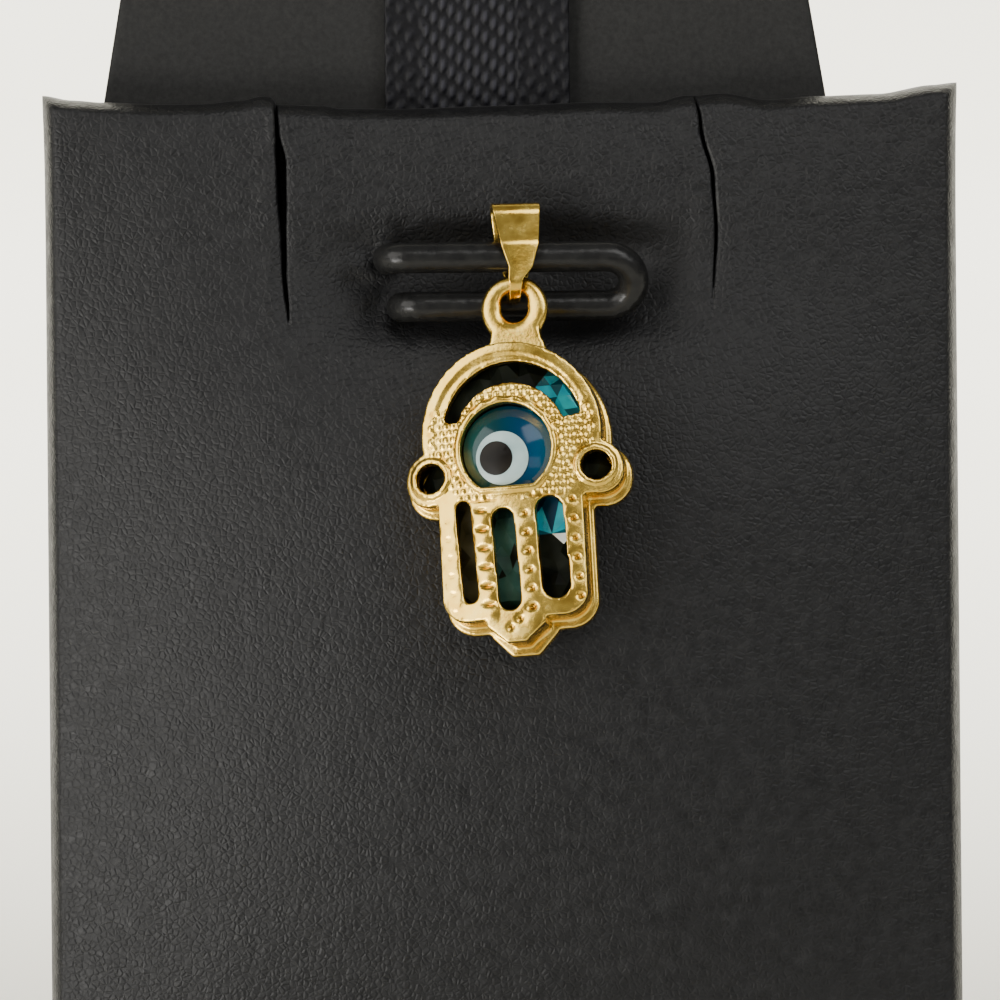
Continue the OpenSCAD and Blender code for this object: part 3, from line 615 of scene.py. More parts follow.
# Ribbon: woven in raised floats, coarser and flatter along its selvedges, over the board's top edge.
RIBBON_W, RIBBON_T, RIBBON_LEFT, RIBBON_GAP = 11.7, 1.0, 1.4, 0.15
SELVEDGES = (2.6, 3.3)
RIBBON_TUCK, RIBBON_BACK, BOARD_T, BOARD_ABOVE = 16.0, 14.0, 3.0, 9.0
RIBBON_HALF, FLOAT_LOW, FLOAT_H = 0.36, 0.08, 0.14
# Pitch across, rise along, stagger, half width and half height of the raised threads.
BODY_THREADS = (0.54, 1.3, 0.43, 0.22, 0.48)
SELVEDGE_THREADS = (0.7, 1.25, 0.5, 0.24, 0.42)
SELVEDGE_H, SELVEDGE_BEND, SELVEDGE_SOFT, RIBBON_SOFT = 0.72, 0.09, 0.2, 0.15
# Where the painted sheen starts on the raised threads, and how soon it is full.
SHEEN_FROM, SHEEN_OVER = 0.55, 0.4
ROWS_FRONT, ROWS_TOP, ROWS_BACK, ROWS_BEND, RIBBON_COLS = 190, 26, 100, 8, 108


def threads(u, s, pitch, rise, stagger, wide, tall):
    """Rows of long raised threads: 1 at the middle of each, 0 between them."""
    out = np.zeros_like(u)
    for near in (-1, 0, 1):
        col = np.round(u / pitch) + near
        du = u - col * pitch
        ds = (s + col * stagger) % rise
        ds = np.minimum(ds, rise - ds)
        out = np.maximum(out, 1 - (du / wide) ** 2 - (ds / tall) ** 2)
    return np.sqrt(np.maximum(out, 0))


def weave(u, s):
    """Height of the weave, 0 to 1, at u across the ribbon and s along it."""
    body = threads(u, s, *BODY_THREADS)
    bent = SELVEDGE_BEND * np.sin(2.3 * s + 1.7 * u)
    selvedge = SELVEDGE_H * threads(u + bent, s, *SELVEDGE_THREADS)
    left, right = SELVEDGES
    from_left, from_right = RIBBON_W / 2 + u, RIBBON_W / 2 - u
    share = portion(np.maximum(left - from_left, right - from_right), SELVEDGE_SOFT)
    edge = portion(np.minimum(from_left, from_right), RIBBON_SOFT)
    return (body * (1 - share) + selvedge * share) * edge


def ribbon_line():
    """The ribbon's middle line, as heights and depths: up the front, over the board and down behind."""
    front = -RIBBON_GAP - RIBBON_T / 2
    back = front - RIBBON_T - 2 * RIBBON_GAP - BOARD_T
    top = PAD_H + BOARD_ABOVE + RIBBON_GAP
    r = RIBBON_T / 2
    bend = np.linspace(0, math.pi / 2, ROWS_BEND)[1:]
    line = [(y, front) for y in np.linspace(PAD_H - RIBBON_TUCK, top, ROWS_FRONT)]
    line += [(top + r * math.sin(a), front - r * (1 - math.cos(a))) for a in bend]
    line += [(top + r, z) for z in np.linspace(front - r, back + r, ROWS_TOP)[1:]]
    line += [(top + r * math.cos(a), back + r * (1 - math.sin(a))) for a in bend]
    line += [(y, back) for y in np.linspace(top, top - RIBBON_BACK, ROWS_BACK)[1:]]
    return np.array(line)


def build_ribbon():
    """The ribbon as a closed strip, woven on its outer face."""
    line = ribbon_line()
    step = np.gradient(line, axis=0)
    step /= np.linalg.norm(step, axis=1)[:, None]
    out = np.stack([-step[:, 1], step[:, 0]], axis=1)
    along = np.concatenate([[0], np.cumsum(np.linalg.norm(np.diff(line, axis=0), axis=1))])
    us = np.linspace(-RIBBON_W / 2, RIBBON_W / 2, RIBBON_COLS)
    u, s = np.meshgrid(us, along)
    raised = weave(u, s)
    outer = RIBBON_HALF - FLOAT_LOW + FLOAT_H * raised
    verts, faces = [], []
    for side in (1, -1):
        for i in range(len(line)):
            for k in range(len(us)):
                d = outer[i, k] if side == 1 else -RIBBON_HALF
                p = line[i] + out[i] * d
                verts.append((us[k] - RIBBON_LEFT, p[0], p[1]))
    rows, cols = len(line), len(us)
    n = rows * cols
    faces += [tuple(f) for f in grid_faces(rows, cols)]
    faces += [tuple(int(v) + n for v in f) for f in grid_faces(rows, cols, True)]
    for i in range(rows - 1):
        for k, order in ((0, 1), (cols - 1, -1)):
            a, b = i * cols + k, (i + 1) * cols + k
            faces.append((a, b, b + n, a + n)[::order])
    for k in range(cols - 1):
        for i, order in ((0, -1), (rows - 1, 1)):
            a, b = i * cols + k, i * cols + k + 1
            faces.append((a, b, b + n, a + n)[::order])
    piece = new_piece("ribbon_woven", verts, faces, PAD)
    # The painted sheen's share at each point, stored as the float mark.
    mark(piece.data, "float", portion(raised - SHEEN_FROM, SHEEN_OVER).ravel())
    return piece


ribbon = build_ribbon()
stand_for(ribbon, "ribbon", "stand", woven())


# Back board: card with softened edges, from the CAD node's own shape.
def softened(node, width_mm, segments):
    """A CAD node with its sharp edges rounded by a bevel."""
    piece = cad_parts[node]
    weld = piece.modifiers.new("weld", "WELD")
    weld.merge_threshold = 0.001 * MM
    bevel = piece.modifiers.new("bevel", "BEVEL")
    bevel.width = width_mm * MM
    bevel.segments = segments
    bevel.limit_method = "ANGLE"
    bevel.angle_limit = math.radians(30)
    bevel.harden_normals = True
    return piece


board = softened("back_board", width_mm=0.35, segments=3)
board.data.materials.clear()
board.data.materials.append(card())


# Bail: a folded strip, narrow where it passes through the ring and creased near its middle.
STRIP_T, BAIL_H, TOP_R, BELLY, CREASE = 0.35, 5.3, 0.85, 1.65, 2.35
BEND_R, BEND_Y, WIRE_R = 1.15, 0.434811, 0.53
BAIL_WIDTHS = [(-3.0, 0.7), (-WIRE_R, 0.7), (0.1, 0.9), (0.8, 1.45), (CREASE, 2.4), (BAIL_H, 3.1)]
BAIL_ASIDE, BAIL_DOWN, BAIL_TURN = 0.36, 0.12, 3.4
ASIDE_FROM, ASIDE_OVER, EDGE_R = 0.1, 0.8, 0.09


def bail_path():
    """Depths and heights of the strip's middle line: its front half from the low end up, then its mirror."""
    t = STRIP_T / 2
    low_r, top_r, belly, top_y = BEND_R + t, TOP_R - t, BELLY - t, BAIL_H - TOP_R
    low_bend = np.linspace(0, math.pi / 2, 22)
    top_bend = np.linspace(0, math.pi / 2, 12)[1:]
    path = [(low_r * math.sin(a), BEND_Y - low_r * math.cos(a)) for a in low_bend]
    path += list(zip(np.linspace(low_r, belly, 14)[1:], np.linspace(BEND_Y, CREASE, 14)[1:]))
    path += list(zip(np.linspace(belly, top_r, 12)[1:], np.linspace(CREASE, top_y, 12)[1:]))
    path += [(top_r * math.cos(a), top_y + top_r * math.sin(a)) for a in top_bend]
    path += [(-z, y) for z, y in path[-2:0:-1]]
    return np.array(path)


def strip_corners():
    """Rounded corners of the strip's section: the corner's side, and the way from the sharp corner."""
    corners = []
    for cx, cy, start in ((1, 1, 0), (-1, 1, 90), (-1, -1, 180), (1, -1, 270)):
        for a in (0, 30, 60, 90):
            b = math.radians(start + a)
            corners.append((cx, cy, EDGE_R * (math.cos(b) - cx), EDGE_R * (math.sin(b) - cy)))
    return corners


def build_bail():
    """The strip swept along its path, drawn aside above the ring."""
    t = STRIP_T / 2
    path, corners = bail_path(), strip_corners()
    step = np.roll(path, -1, axis=0) - np.roll(path, 1, axis=0)
    step /= np.linalg.norm(step, axis=1)[:, None]
    out = np.stack([step[:, 1], -step[:, 0]], axis=1)
    verts, faces = [], []
    for (z, y), (nz, ny) in zip(path, out):
        w = float(np.interp(y, *np.array(BAIL_WIDTHS).T)) / 2
        for cx, cy, dx, dn in corners:
            n = cy * t + dn
            aside = BAIL_ASIDE * min(1.0, max(0.0, (y - ASIDE_FROM) / ASIDE_OVER))
            verts.append((cx * w + dx + aside, y + ny * n - BAIL_DOWN, z + nz * n))
    m, c = len(path), len(corners)
    for i in range(m):
        for k in range(c):
            a, b = i * c + k, i * c + (k + 1) % c
            p, q = (i + 1) % m * c + k, (i + 1) % m * c + (k + 1) % c
            faces.append((a, p, q, b))
    return new_piece("bail_strip", verts, faces, BAIL @ rot(0, 0, -BAIL_TURN))


bail = build_bail()
stand_for(bail, "bail", "stand", gold("gold_bail", False))


# Casing: the CAD casing softened as a casting, with its grained relief.
FRONT_Z, FRONT_R = 2.7, 20.0
NECK_HALF, NECK_FREE, RING_THICKER = 1.45, 2.7, 0.24
NECK_TABLE = [(5.2, 2.0), (5.9, 1.8), (6.3, 1.62), (6.7, 1.55), (7.1, NECK_HALF)]
DOME_R, RING_MID_R = 5.65, 1.59
RING_AT = (-DOME[0], -DOME[1] - RING_MID_R)
EYE, EYE_R = (-0.3, -1.0), 2.85
THUMB_X, THUMB_Y, THUMB_HOLE_R = 5.2, -2.4, 0.92
SLOT_TOP, SLOT_L, SLOT_LEAN = -4.05, 6.4, math.tan(math.radians(2.5))
BAR_EDGES = [-4.8, -3.575, -2.625, -1.31, 0.09, 1.45, 3.15, 4.3]
BARS = [(a + b) / 2 for a, b in zip(BAR_EDGES[::2], BAR_EDGES[1::2])]
# For each bar: height of its beads, first mark and pitch down the bar, depth, size across and along, tone.
BAR_MARKS = (
    (0.06, -5.2, 1.15, 0.05, 0.2, 0.14, 0.3),
    (0.1, -4.75, 1.18, 0.15, 0.42, 0.13, 0.7),
    (0.05, -5.15, 1.17, 0.2, 0.19, 0.17, 1.0),
    (0.05, -4.4, 1.22, 0.2, 0.19, 0.17, 1.0),
)
ROW_MARKS = 6
TIP_MARKS = [(0.1, -11.7), (0.8, -11.0), (-0.5, -12.2)]
TIP_DEPTH, TIP_R, BEAD_WIDE, BEAD_TALL = 0.16, 0.2, 0.5, 0.44
GRAIN_PITCH, GRAIN_R, GRAIN_H, PALM_LOW = 0.48, 0.2, 0.13, 0.06
GRAIN_ROWS, GRAIN_COLS, GRAIN_JITTER = range(-12, 13), range(-13, 14), 0.07
GRAIN_ROW_SHARE, GRAIN_DOWN = 0.87, 0.5
OFF_EYE, OFF_THUMB, GRAIN_TO = 0.42, 0.5, 5.25
SMOOTH_RIM, RIM_DOWN_TO, PALM_R, PALM_FOOT = 4.4, 2.0, 5.35, SLOT_TOP - 0.2
GROUND_TONE, GRAIN_CONTRAST = 0.6, 2.2
VOXEL, SMOOTHING, BEZEL = 0.106, 3, 0.4
# The dome's raised rim, and how far below the plate the shaded places lie.
RIM_FROM, RIM_RISE, RIM_SOFT, RIM_FOOT, RIM_FADE = 4.75, 0.12, 0.3, -1.0, 0.6
TOP_DEPTH, LOW_FROM, LOW_OVER, LOW_TONE = 0.3, 0.25, 0.8, 0.25
# Soft widths of the relief's borders, and where the ring is thickened: not where the bail passes.
BAR_INSET, BAR_SOFT, PALM_SOFT, SMOOTH_SOFT = 0.1, 0.12, 0.25, 0.15
PASS_R, RING_OVER, RING_DEEP, FREE_FROM, FREE_OVER = 0.6, 0.5, 1.0, 0.2, 0.5
NECK_FOOT, NECK_DEEP = 5.5, 1.2


def remeshed(node, name, voxel_mm, smooth_steps):
    """A node's mesh in hand millimetres, rebuilt in even small faces and smoothed as a casting."""
    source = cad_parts[node]
    mesh = source.data.copy()
    mesh.transform(HAND.inverted())
    work = bpy.data.objects.new(name, mesh)
    bpy.context.scene.collection.objects.link(work)
    weld = work.modifiers.new("weld", "WELD")
    weld.merge_threshold = 0.002
    remesh = work.modifiers.new("remesh", "REMESH")
    remesh.mode = "VOXEL"
    remesh.voxel_size = voxel_mm
    soft = work.modifiers.new("smooth", "SMOOTH")
    soft.factor = 0.5
    soft.iterations = smooth_steps
    graph = bpy.context.evaluated_depsgraph_get()
    done = bpy.data.meshes.new_from_object(work.evaluated_get(graph))
    work.modifiers.clear()
    work.data = done
    return work


def points_of(mesh):
    """A mesh's points as rows of x, y and z."""
    co = np.zeros(len(mesh.vertices) * 3)
    mesh.vertices.foreach_get("co", co)
    return co.reshape(-1, 3)


def marks(x, y, places, wide, tall=None):
    """Soft marks, round or oval, at a list of places: 1 at each centre, near 0 well outside."""
    out = np.zeros_like(x)
    for px, py in places:
        out = np.maximum(out, np.exp(-(((x - px) / wide) ** 2) - ((y - py) / (tall or wide)) ** 2))
    return out


def in_bar(x, y):
    """Share of the way inside the bars beside and between the slots."""
    shift = SLOT_LEAN * (SLOT_TOP - SLOT_L / 2 - y)
    inside = np.zeros_like(x)
    for a, b in zip(BAR_EDGES[::2], BAR_EDGES[1::2]):
        middle, half = (a + b) / 2 + shift, (b - a) / 2
        from_side = half - BAR_INSET - np.abs(x - middle)
        inside = np.maximum(inside, portion(from_side, BAR_SOFT))
    return inside


def down_bar(bar, first, pitch):
    """Places down a bar's middle line, leaning with the slots."""
    ys = [first - k * pitch for k in range(ROW_MARKS)]
    return [(bar + SLOT_LEAN * (SLOT_TOP - SLOT_L / 2 - y), y) for y in ys]


def grained(x, y):
    """Whether the palm is grained at a place: clear of the eye, the thumb holes and the smooth rim."""
    from_eye = math.hypot(x - EYE[0], y - EYE[1])
    from_thumb = math.hypot(abs(x) - THUMB_X, y - THUMB_Y)
    from_dome = math.hypot(x, y)
    if from_eye < EYE_R + OFF_EYE or from_thumb < THUMB_HOLE_R + OFF_THUMB:
        return False
    if y < PALM_FOOT or from_dome > GRAIN_TO:
        return False
    return from_dome < SMOOTH_RIM or y < RIM_DOWN_TO


def grain_places():
    """A jittered close lattice of small grains over the palm."""
    out = []
    for row in GRAIN_ROWS:
        for col in GRAIN_COLS:
            at = Vector((col * 1.7, row * 2.3, 7.0))
            other = at + Vector((9.0, 4.0, 1.0))
            x = (col + 0.5 * (row % 2)) * GRAIN_PITCH + GRAIN_JITTER * noise.noise(at)
            y = row * GRAIN_PITCH * GRAIN_ROW_SHARE - GRAIN_DOWN + GRAIN_JITTER * noise.noise(other)
            if grained(x, y):
                out.append((x, y))
    return out


def bar_relief(x, y):
    """Height and darkness of the beads and dimples along the four bars."""
    height, dark = np.zeros_like(x), np.zeros_like(x)
    for bar, (bead, first, pitch, depth, wide, tall, tone) in zip(BARS, BAR_MARKS):
        places = down_bar(bar, first, pitch)
        dimples = marks(x, y, places, wide, tall)
        beads = marks(x, y, down_bar(bar, first - pitch / 2, pitch), BEAD_WIDE, BEAD_TALL)
        height += bead * beads - depth * dimples
        dark = np.maximum(dark, tone * dimples)
    return height, dark


def relief(x, y):
    """Height of the cast relief over the front plate, and its tone, low in dimples and between grains."""
    bar = in_bar(x, y) * (y < SLOT_TOP + 0.1)
    height, dark = bar_relief(x, y)
    tip = marks(x, y, TIP_MARKS, TIP_R)
    grains = marks(x, y, grain_places(), GRAIN_R)
    from_dome = np.hypot(x, y)
    palm = (y > PALM_FOOT) * portion(PALM_R - from_dome, PALM_SOFT)
    off_rim = np.maximum(SMOOTH_RIM - from_dome, (RIM_DOWN_TO - y) / 2)
    palm = palm * portion(off_rim, SMOOTH_SOFT)
    height = height * bar - TIP_DEPTH * tip + palm * (GRAIN_H * grains - PALM_LOW)
    ground = GROUND_TONE * palm * np.clip(1 - GRAIN_CONTRAST * grains, 0, 1)
    low = np.maximum(np.maximum(dark * bar, tip), ground)
    return height, 1 - low


def shaped_ring(co, ring):
    """Draws the neck out to a fillet and thickens the ring's inner side where the bail doesn't pass."""
    x, y, z = co.T
    dx, dy = x - RING_AT[0], y - RING_AT[1]
    around = np.hypot(dx, dy)
    out = np.maximum(around, 0.01)
    away = 1 - portion(dy / out - FREE_FROM, FREE_OVER)
    inner = portion(RING_MID_R - around, RING_OVER) * ring
    inner = inner * (around > PASS_R) * (np.abs(z) < RING_DEEP)
    reach = eased(y, NECK_TABLE)
    inside = np.minimum(np.abs(dx), NECK_HALF) * reach / NECK_HALF
    beyond = np.clip(np.abs(dx) - NECK_HALF, 0, None) * (NECK_FREE - reach) / (NECK_FREE - NECK_HALF)
    at_neck = (y > NECK_FOOT) & (np.abs(dx) < NECK_FREE) & (np.abs(z) < NECK_DEEP)
    co[at_neck, 0] = (RING_AT[0] + np.sign(dx) * (inside + beyond))[at_neck]
    co[:, 0] -= RING_THICKER * dx / out * inner * away
    co[:, 1] -= RING_THICKER * dy / out * inner * away


def build_casing():
    """The casing with its curved plate, its cast relief and its ring, and the relief's tone marked on it."""
    piece = remeshed("casing", "casing_cast", VOXEL, SMOOTHING)
    mesh = piece.data
    co = points_of(mesh)
    x, y, z = co.T
    plate = FRONT_Z - FRONT_R + np.sqrt(FRONT_R**2 - x**2)
    from_eye = np.hypot(x - EYE[0], y - EYE[1])
    from_thumb = np.hypot(np.abs(x) - THUMB_X, y - THUMB_Y)
    bezel = (from_eye < EYE_R + BEZEL) | (from_thumb < THUMB_HOLE_R + BEZEL)
    ring = y > DOME_R + 0.1
    flat = ~bezel & ~ring & (z > plate)
    co[flat, 2] = plate[flat]
    top = portion(z - plate + TOP_DEPTH, PALM_SOFT) * ~ring * ~bezel
    height, tone = relief(x, y)
    edge = portion(np.hypot(x, y) - RIM_FROM, RIM_SOFT)
    edge = edge * portion(y - RIM_FOOT, RIM_FADE)
    co[:, 2] += top * (height + RIM_RISE * edge)
    shaped_ring(co, ring)
    mesh.vertices.foreach_set("co", co.ravel())
    shade = 1 - (1 - tone) * top
    # Painted shade on the places that lie below the front plate.
    low = portion(plate - LOW_FROM - z, LOW_OVER) * ~ring
    mark(mesh, "relief", shade * (1 - LOW_TONE * low))
    mesh.transform(HAND)
    mesh.polygons.foreach_set("use_smooth", [True] * len(mesh.polygons))
    mesh.update()
    return piece


casing = build_casing()
stand_for(casing, "casing", "pendant", gold("gold_cast", True))


# Glass core: cut in many small facets under the openings, in glass of several depths of colour, with painted
# shade, painted highlights, a painted reflection of the gold and a painted glint on some of its facets.
CORE_LOW, CORE_TOP, CORE_EDGE, UNDER_EYE = -0.44, 1.3, 0.25, 0.48
CORE_R, CORE_LEFT, CORE_RIGHT, CORE_FOOT, CORE_CUT = 5.0, -4.15, 3.65, -10.85, 1.0
SHOULDER, HIPS, CORE_THUMB_R, CORE_THUMB_DOWN = -4.1, -7.5, 0.84, 0.1
# Rings of points under the eye, as radius and count, and the jittered lattice of the other facets.
EYE_RINGS = ((2.98, 24), (1.5, 8), (0.0, 1))
FACET, FACET_JITTER, FACET_DEPTH, FACET_ROWS, FACET_COLS = 0.82, 0.3, 0.3, range(-15, 8), range(-8, 9)
CLEAR_OF_EYE, CLEAR_OF_EDGE, CLEAR_OF_BAND = 3.35, 0.4, 0.3
FACET_MEAN, BAND_Z, BAND_FALL, GLINT_Z, SEAM_Z = CORE_TOP - 0.22, 1.1, 0.06, 1.05, 0.9
# Where each kind shows: the crescent's end with its painted highlights, the middle slot and the left one, in
# patches.
CRESCENT_FOOT, CRESCENT_END, CRESCENT_PATCH, CYAN_FROM = 0.3, 62, 1.9, -0.05
MIDDLE_SLOT, MIDDLE_PATCH, DEEP_FROM, LEFT_SLOT_TO = (-1.7, 0.5), 1.3, -0.3, -2.2
# For each kind: its darkest and lightest tone, and its shine. Black is painted shade, cyan a painted
# highlight, olive a painted reflection of the gold and the near white glint a painted glint.
CORE_KINDS = {
    "core_black_painted_shade": ((0.003, 0.004, 0.003), (0.013, 0.016, 0.011), 0.03),
    "core_olive_painted_gold_reflection": ((0.02, 0.019, 0.009), (0.05, 0.047, 0.025), 0.03),
    "core_deep": ((0.012, 0.035, 0.032), (0.03, 0.09, 0.078), 0.06),
    "core_teal": ((0.0, 0.05, 0.075), (0.002, 0.1, 0.14), 0.15),
    "core_cyan_painted_highlight": ((0.0, 0.25, 0.38), (0.02, 0.5, 0.65), 0.4),
    "core_blue": ((0.0, 0.02, 0.05), (0.0, 0.045, 0.1), 0.08),
    "core_glint": ((0.75, 0.85, 0.85), (0.9, 0.95, 0.95), 0.5),
}
SHINY_FROM, SHINY_ROUGH, DULL_ROUGH = 0.2, 0.12, 0.3
# Bands under the right slot, the cyan one a painted highlight: their ends across, and the lower edge of
# each, from the top down.
BAND_XS = (1.0, 3.35)
BAND_YS = (-5.15, -5.9, -6.3)
BAND_KINDS = ("core_blue", "core_cyan_painted_highlight", "core_teal")
# A painted glint: one near white facet between these points.
GLINT = [(2.05, -6.3), (2.75, -7.0)]
GLINT_AT = Vector((2.7, -6.55))


def arc(x, y, radius, degrees):
    """Points round a centre, at angles in degrees."""
    return [(x + radius * math.cos(a), y + radius * math.sin(a)) for a in np.radians(degrees)]


def core_outline():
    """Outline of the core in the hand frame, counterclockwise from the right of the dome."""
    left, right, low, cut = CORE_LEFT, CORE_RIGHT, CORE_FOOT, CORE_CUT
    out = arc(0.0, 0.0, CORE_R, range(-12, 193, 12))
    out += arc(-THUMB_X, THUMB_Y - CORE_THUMB_DOWN, CORE_THUMB_R, (120, 180, 240))
    out += [(left, SHOULDER), (left, HIPS), (left, low + cut), (left + cut, low), (0.0, low)]
    out += [(right - cut, low), (right, low + cut), (right, HIPS), (right, SHOULDER)]
    out += arc(THUMB_X, THUMB_Y - CORE_THUMB_DOWN, CORE_THUMB_R, (-60, 0, 60))
    return out


def core_kind(x, y):
    """Which glass shows at a place: the photograph's colours through the openings."""
    angle = math.degrees(math.atan2(y, x))
    if y > CRESCENT_FOOT:
        if not 0 < angle < CRESCENT_END:
            return "core_black_painted_shade"
        # Painted highlights on some facets of the crescent's end.
        patch = noise.noise(Vector((x * CRESCENT_PATCH, y * CRESCENT_PATCH, 4.0)))
        return "core_cyan_painted_highlight" if patch > CYAN_FROM else "core_teal"
    if y > SLOT_TOP + 0.15:
        return "core_black_painted_shade"
    if BAND_XS[0] - 0.2 < x < BAND_XS[1] + 0.2:
        for foot, kind in zip(BAND_YS, BAND_KINDS):
            if y > foot:
                return kind
        return "core_black_painted_shade"
    if MIDDLE_SLOT[0] < x < MIDDLE_SLOT[1]:
        patch = noise.noise(Vector((x * MIDDLE_PATCH, y * MIDDLE_PATCH, 2.0)))
        return "core_deep" if patch > DEEP_FROM else "core_black_painted_shade"
    # The left slot shows a painted reflection of the gold.
    return "core_olive_painted_gold_reflection" if x < LEFT_SLOT_TO else "core_black_painted_shade"


def in_band(x, y):
    """Whether a place lies at the bright bands or their glint, which have points of their own."""
    across = BAND_XS[0] - CLEAR_OF_BAND < x < BAND_XS[1] + 0.1
    return across and GLINT[1][1] - CLEAR_OF_BAND < y < BAND_YS[0] + CLEAR_OF_BAND


def facet_points(outline):
    """Corners of the facets inside the outline, as x, y and height."""
    out = [
        (EYE[0] + r * math.cos(a), EYE[1] + r * math.sin(a), UNDER_EYE)
        for r, count in EYE_RINGS
        for a in np.linspace(0, 2 * math.pi, count, endpoint=False)
    ]
    for row in FACET_ROWS:
        for col in FACET_COLS:
            at = Vector((col * 3.1, row * 2.7, 0.5))
            x = (col + 0.5 * (row % 2)) * FACET + FACET_JITTER * noise.noise(at)
            y = row * FACET * 0.9 + FACET_JITTER * noise.noise(at + Vector((5.0, 8.0, 2.0)))
            under_eye = math.hypot(x - EYE[0], y - EYE[1]) < CLEAR_OF_EYE
            if in_band(x, y) or under_eye or inside_by(x, y, outline) < CLEAR_OF_EDGE:
                continue
            rise = FACET_DEPTH * noise.noise(at * 1.3 + Vector((2.0, 1.0, 6.0)))
            out.append((x, y, FACET_MEAN + rise))
    out += [(x, y, BAND_Z - BAND_FALL * x) for y in BAND_YS for x in BAND_XS]
    out += [(x, y, GLINT_Z) for x, y in GLINT]
    return out


def build_core():
    """The core as one closed cut stone, with the kind set for each facet: glass colours, painted shade,
    painted highlights, a painted reflection and a painted glint.
    """
    outline = core_outline()
    points = [Vector(p) for p in outline]
    heights = [CORE_EDGE] * len(points)
    n = len(points)
    for x, y, z in facet_points(outline):
        points.append(Vector((x, y)))
        heights.append(z)
    edges = [(i, (i + 1) % n) for i in range(n)]
    co, _, faces, origin, _, _ = delaunay_2d_cdt(points, edges, [], 1, 1e-5)
    z = [heights[o[0]] if o else SEAM_Z for o in origin]
    verts = [(p[0], p[1], h) for p, h in zip(co, z)]
    tris = [tuple(f) for f in faces]
    first = len(verts)
    ring = [next(i for i, o in enumerate(origin) if k in o) for k in range(n)]
    verts += [(co[i][0], co[i][1], CORE_LOW) for i in ring]
    sides = []
    for k in range(n):
        a, b = ring[k], ring[(k + 1) % n]
        sides.append((b, a, first + k, first + (k + 1) % n))
    bottom = tuple(first + k for k in range(n))[::-1]
    piece = new_piece("glass_core_cut", verts, tris + sides + [bottom], HAND, smooth=False)
    kinds = list(CORE_KINDS)
    piece.data.materials.clear()
    for kind in kinds:
        low, high, shine = CORE_KINDS[kind]
        rough = SHINY_ROUGH if shine > SHINY_FROM else DULL_ROUGH
        piece.data.materials.append(glass(kind, [(0.35, low), (0.65, high)], rough, shine))
    middles = [Vector((sum(co[i][0] for i in tri) / 3, sum(co[i][1] for i in tri) / 3)) for tri in tris]
    for face, middle in zip(piece.data.polygons, middles):
        face.material_index = kinds.index(core_kind(*middle))
    # The facet nearest the glint's place is painted as a glint.
    glint = min(range(len(tris)), key=lambda i: (middles[i] - GLINT_AT).length)
    piece.data.polygons[glint].material_index = kinds.index("core_glint")
    return piece


def inside_by(x, y, outline):
    """Distance of a point inside an outline from its nearest side, or less than 0 outside."""
    best, inside = 1e9, False
    for (ax, ay), (bx, by) in zip(outline, outline[1:] + outline[:1]):
        t = ((x - ax) * (bx - ax) + (y - ay) * (by - ay)) / ((bx - ax) ** 2 + (by - ay) ** 2)
        t = min(1, max(0, t))
        best = min(best, math.hypot(x - ax - t * (bx - ax), y - ay - t * (by - ay)))
        if (ay > y) != (by > y) and x < ax + (y - ay) * (bx - ax) / (by - ay):
            inside = not inside
    return best if inside else -best


core = build_core()
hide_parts("glass_core")
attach(core, "pendant")

# Eye: its three pieces keep the solids' shapes. The glass turns from green at the left to blue at the right.
BLUE_TONES = [(0.0, (0.004, 0.05, 0.045)), (0.4, (0.002, 0.028, 0.034))]
BLUE_TONES += [(0.7, (0.0, 0.028, 0.07)), (1.0, (0.0, 0.055, 0.12))]
WHITE_TONES = [(0.35, (0.25, 0.36, 0.36)), (0.65, (0.37, 0.49, 0.48))]
PUPIL_TONES = [(0.35, (0.004, 0.003, 0.002)), (0.65, (0.012, 0.01, 0.007))]
ACROSS_EYE = (HAND @ Vector((EYE[0], EYE[1], FRONT_Z)), Vector((1.0, 0.0, 0.1)), 5.0 * MM)
EYE_MATERIALS = {
    "eye_glass": glass("blue_glass_eye", BLUE_TONES, rough=0.1, shine=0.3, place=ACROSS_EYE),
    "eye_white": glass("white_glass_ring", WHITE_TONES, rough=0.25, shine=0.4),
    "eye_pupil": glass("dark_glass_pupil", PUPIL_TONES, rough=0.3, shine=0.12),
}
for node, made in EYE_MATERIALS.items():
    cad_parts[node].data.materials.clear()
    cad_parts[node].data.materials.append(made)


# Floor, backdrop and soft light, in metres
FLOOR_FRONT, FLOOR_BACK, COVE_R, WALL_TOP, FLOOR_HALF = -0.9, 0.35, 0.25, 1.2, 1.2
FLOOR_TONES = [(0.3, (0.81, 0.79, 0.71)), (0.7, (0.85, 0.84, 0.77))]


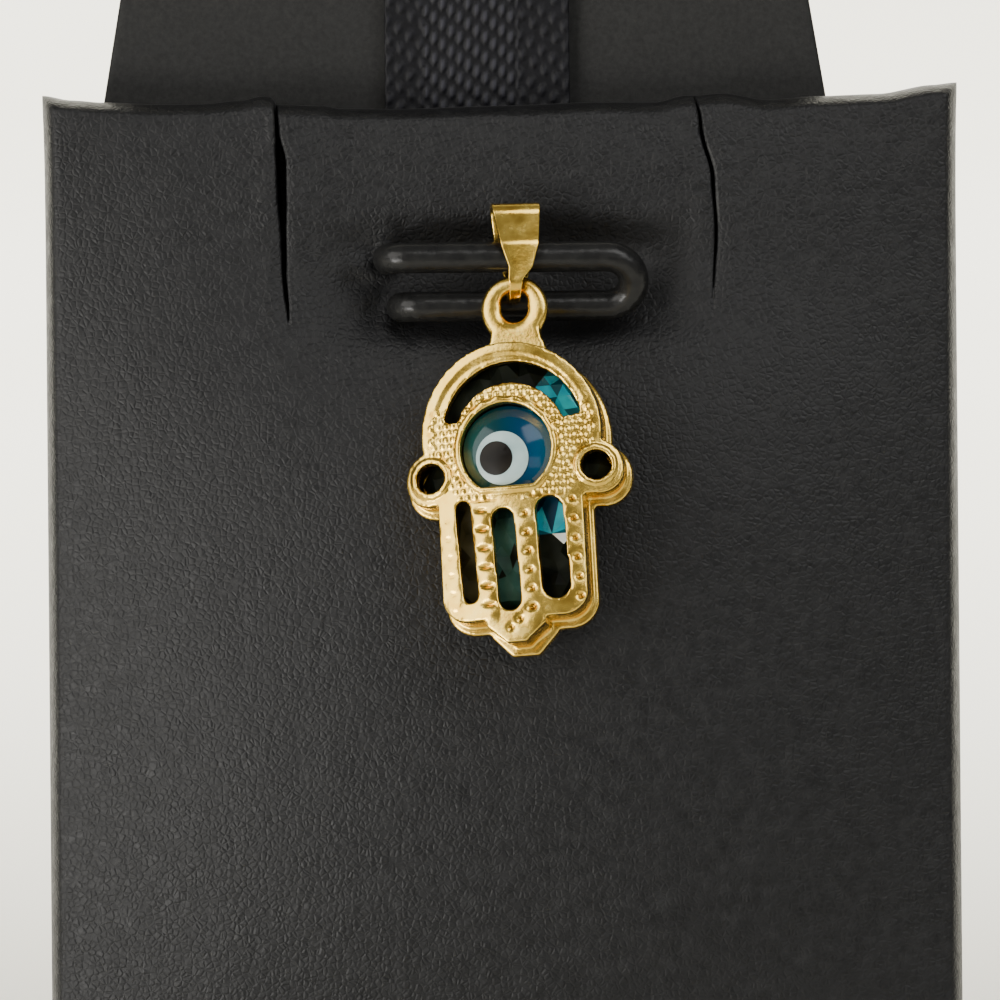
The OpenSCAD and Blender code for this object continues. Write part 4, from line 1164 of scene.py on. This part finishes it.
def stage_set():
    """A pale floor that curves up into a backdrop."""
    made, nodes, links, shader, coords = material("pale_floor")
    cloud = clouds(nodes, links, coords, 0.01, Detail=2.0)
    tone = ramp(nodes, links, cloud, FLOOR_TONES)
    links.new(tone, shader.inputs["Base Color"])
    shader.inputs["Roughness"].default_value = 0.9
    curve = np.linspace(0, math.pi / 2, 12)[1:]
    profile = [(FLOOR_FRONT, 0.0), (FLOOR_BACK, 0.0)]
    profile += [(FLOOR_BACK + COVE_R * math.sin(a), COVE_R * (1 - math.cos(a))) for a in curve]
    profile += [(FLOOR_BACK + COVE_R, WALL_TOP)]
    verts = [(x, y, z) for y, z in profile for x in (-FLOOR_HALF, FLOOR_HALF)]
    faces = [(2 * i, 2 * i + 1, 2 * i + 3, 2 * i + 2) for i in range(len(profile) - 1)]
    floor = new_piece("floor", verts, faces, Matrix.Identity(4))
    floor.data.materials.append(made)


def soft_light(name, place, aim, size, power, color):
    """A rectangular light at a place in metres, turned to what it aims at."""
    data = bpy.data.lights.new(name, "AREA")
    data.shape = "RECTANGLE"
    data.size, data.size_y = size
    data.energy = power
    data.color = color
    light = bpy.data.objects.new(name, data)
    light.location = place
    light.rotation_euler = (Vector(aim) - Vector(place)).to_track_quat("-Z", "Y").to_euler()
    bpy.context.scene.collection.objects.link(light)


stage_set()
TARGET = (0.0, -0.01, 0.05)
# For each light: its name, place, aim, size, power in watts and colour.
LIGHTS = (
    ("key", (-0.42, -0.32, 0.34), TARGET, (0.45, 0.45), 2.6, (1.0, 0.97, 0.92)),
    ("low", (-0.17, -0.2, 0.04), TARGET, (0.12, 0.06), 0.42, (1.0, 0.98, 0.95)),
    ("front", (0.145, -0.57, 0.24), TARGET, (0.14, 0.14), 0.08, (1.0, 0.98, 0.94)),
    ("fill", (0.26, -0.22, 0.3), TARGET, (0.2, 0.2), 0.5, (0.98, 0.98, 0.97)),
    ("top", (0.12, -0.2, 0.38), TARGET, (0.25, 0.15), 0.5, (1.0, 0.99, 0.97)),
    ("backdrop", (0.0, 0.12, 0.35), (0.0, 0.6, 0.16), (0.8, 0.3), 12.5, (1.0, 0.98, 0.92)),
)
for light in LIGHTS:
    soft_light(*light)
world = bpy.data.worlds.new("studio")
world.use_nodes = True
around = world.node_tree.nodes["Background"]
around.inputs["Color"].default_value = (0.79, 0.79, 0.78, 1)
around.inputs["Strength"].default_value = 0.3
bpy.context.scene.world = world
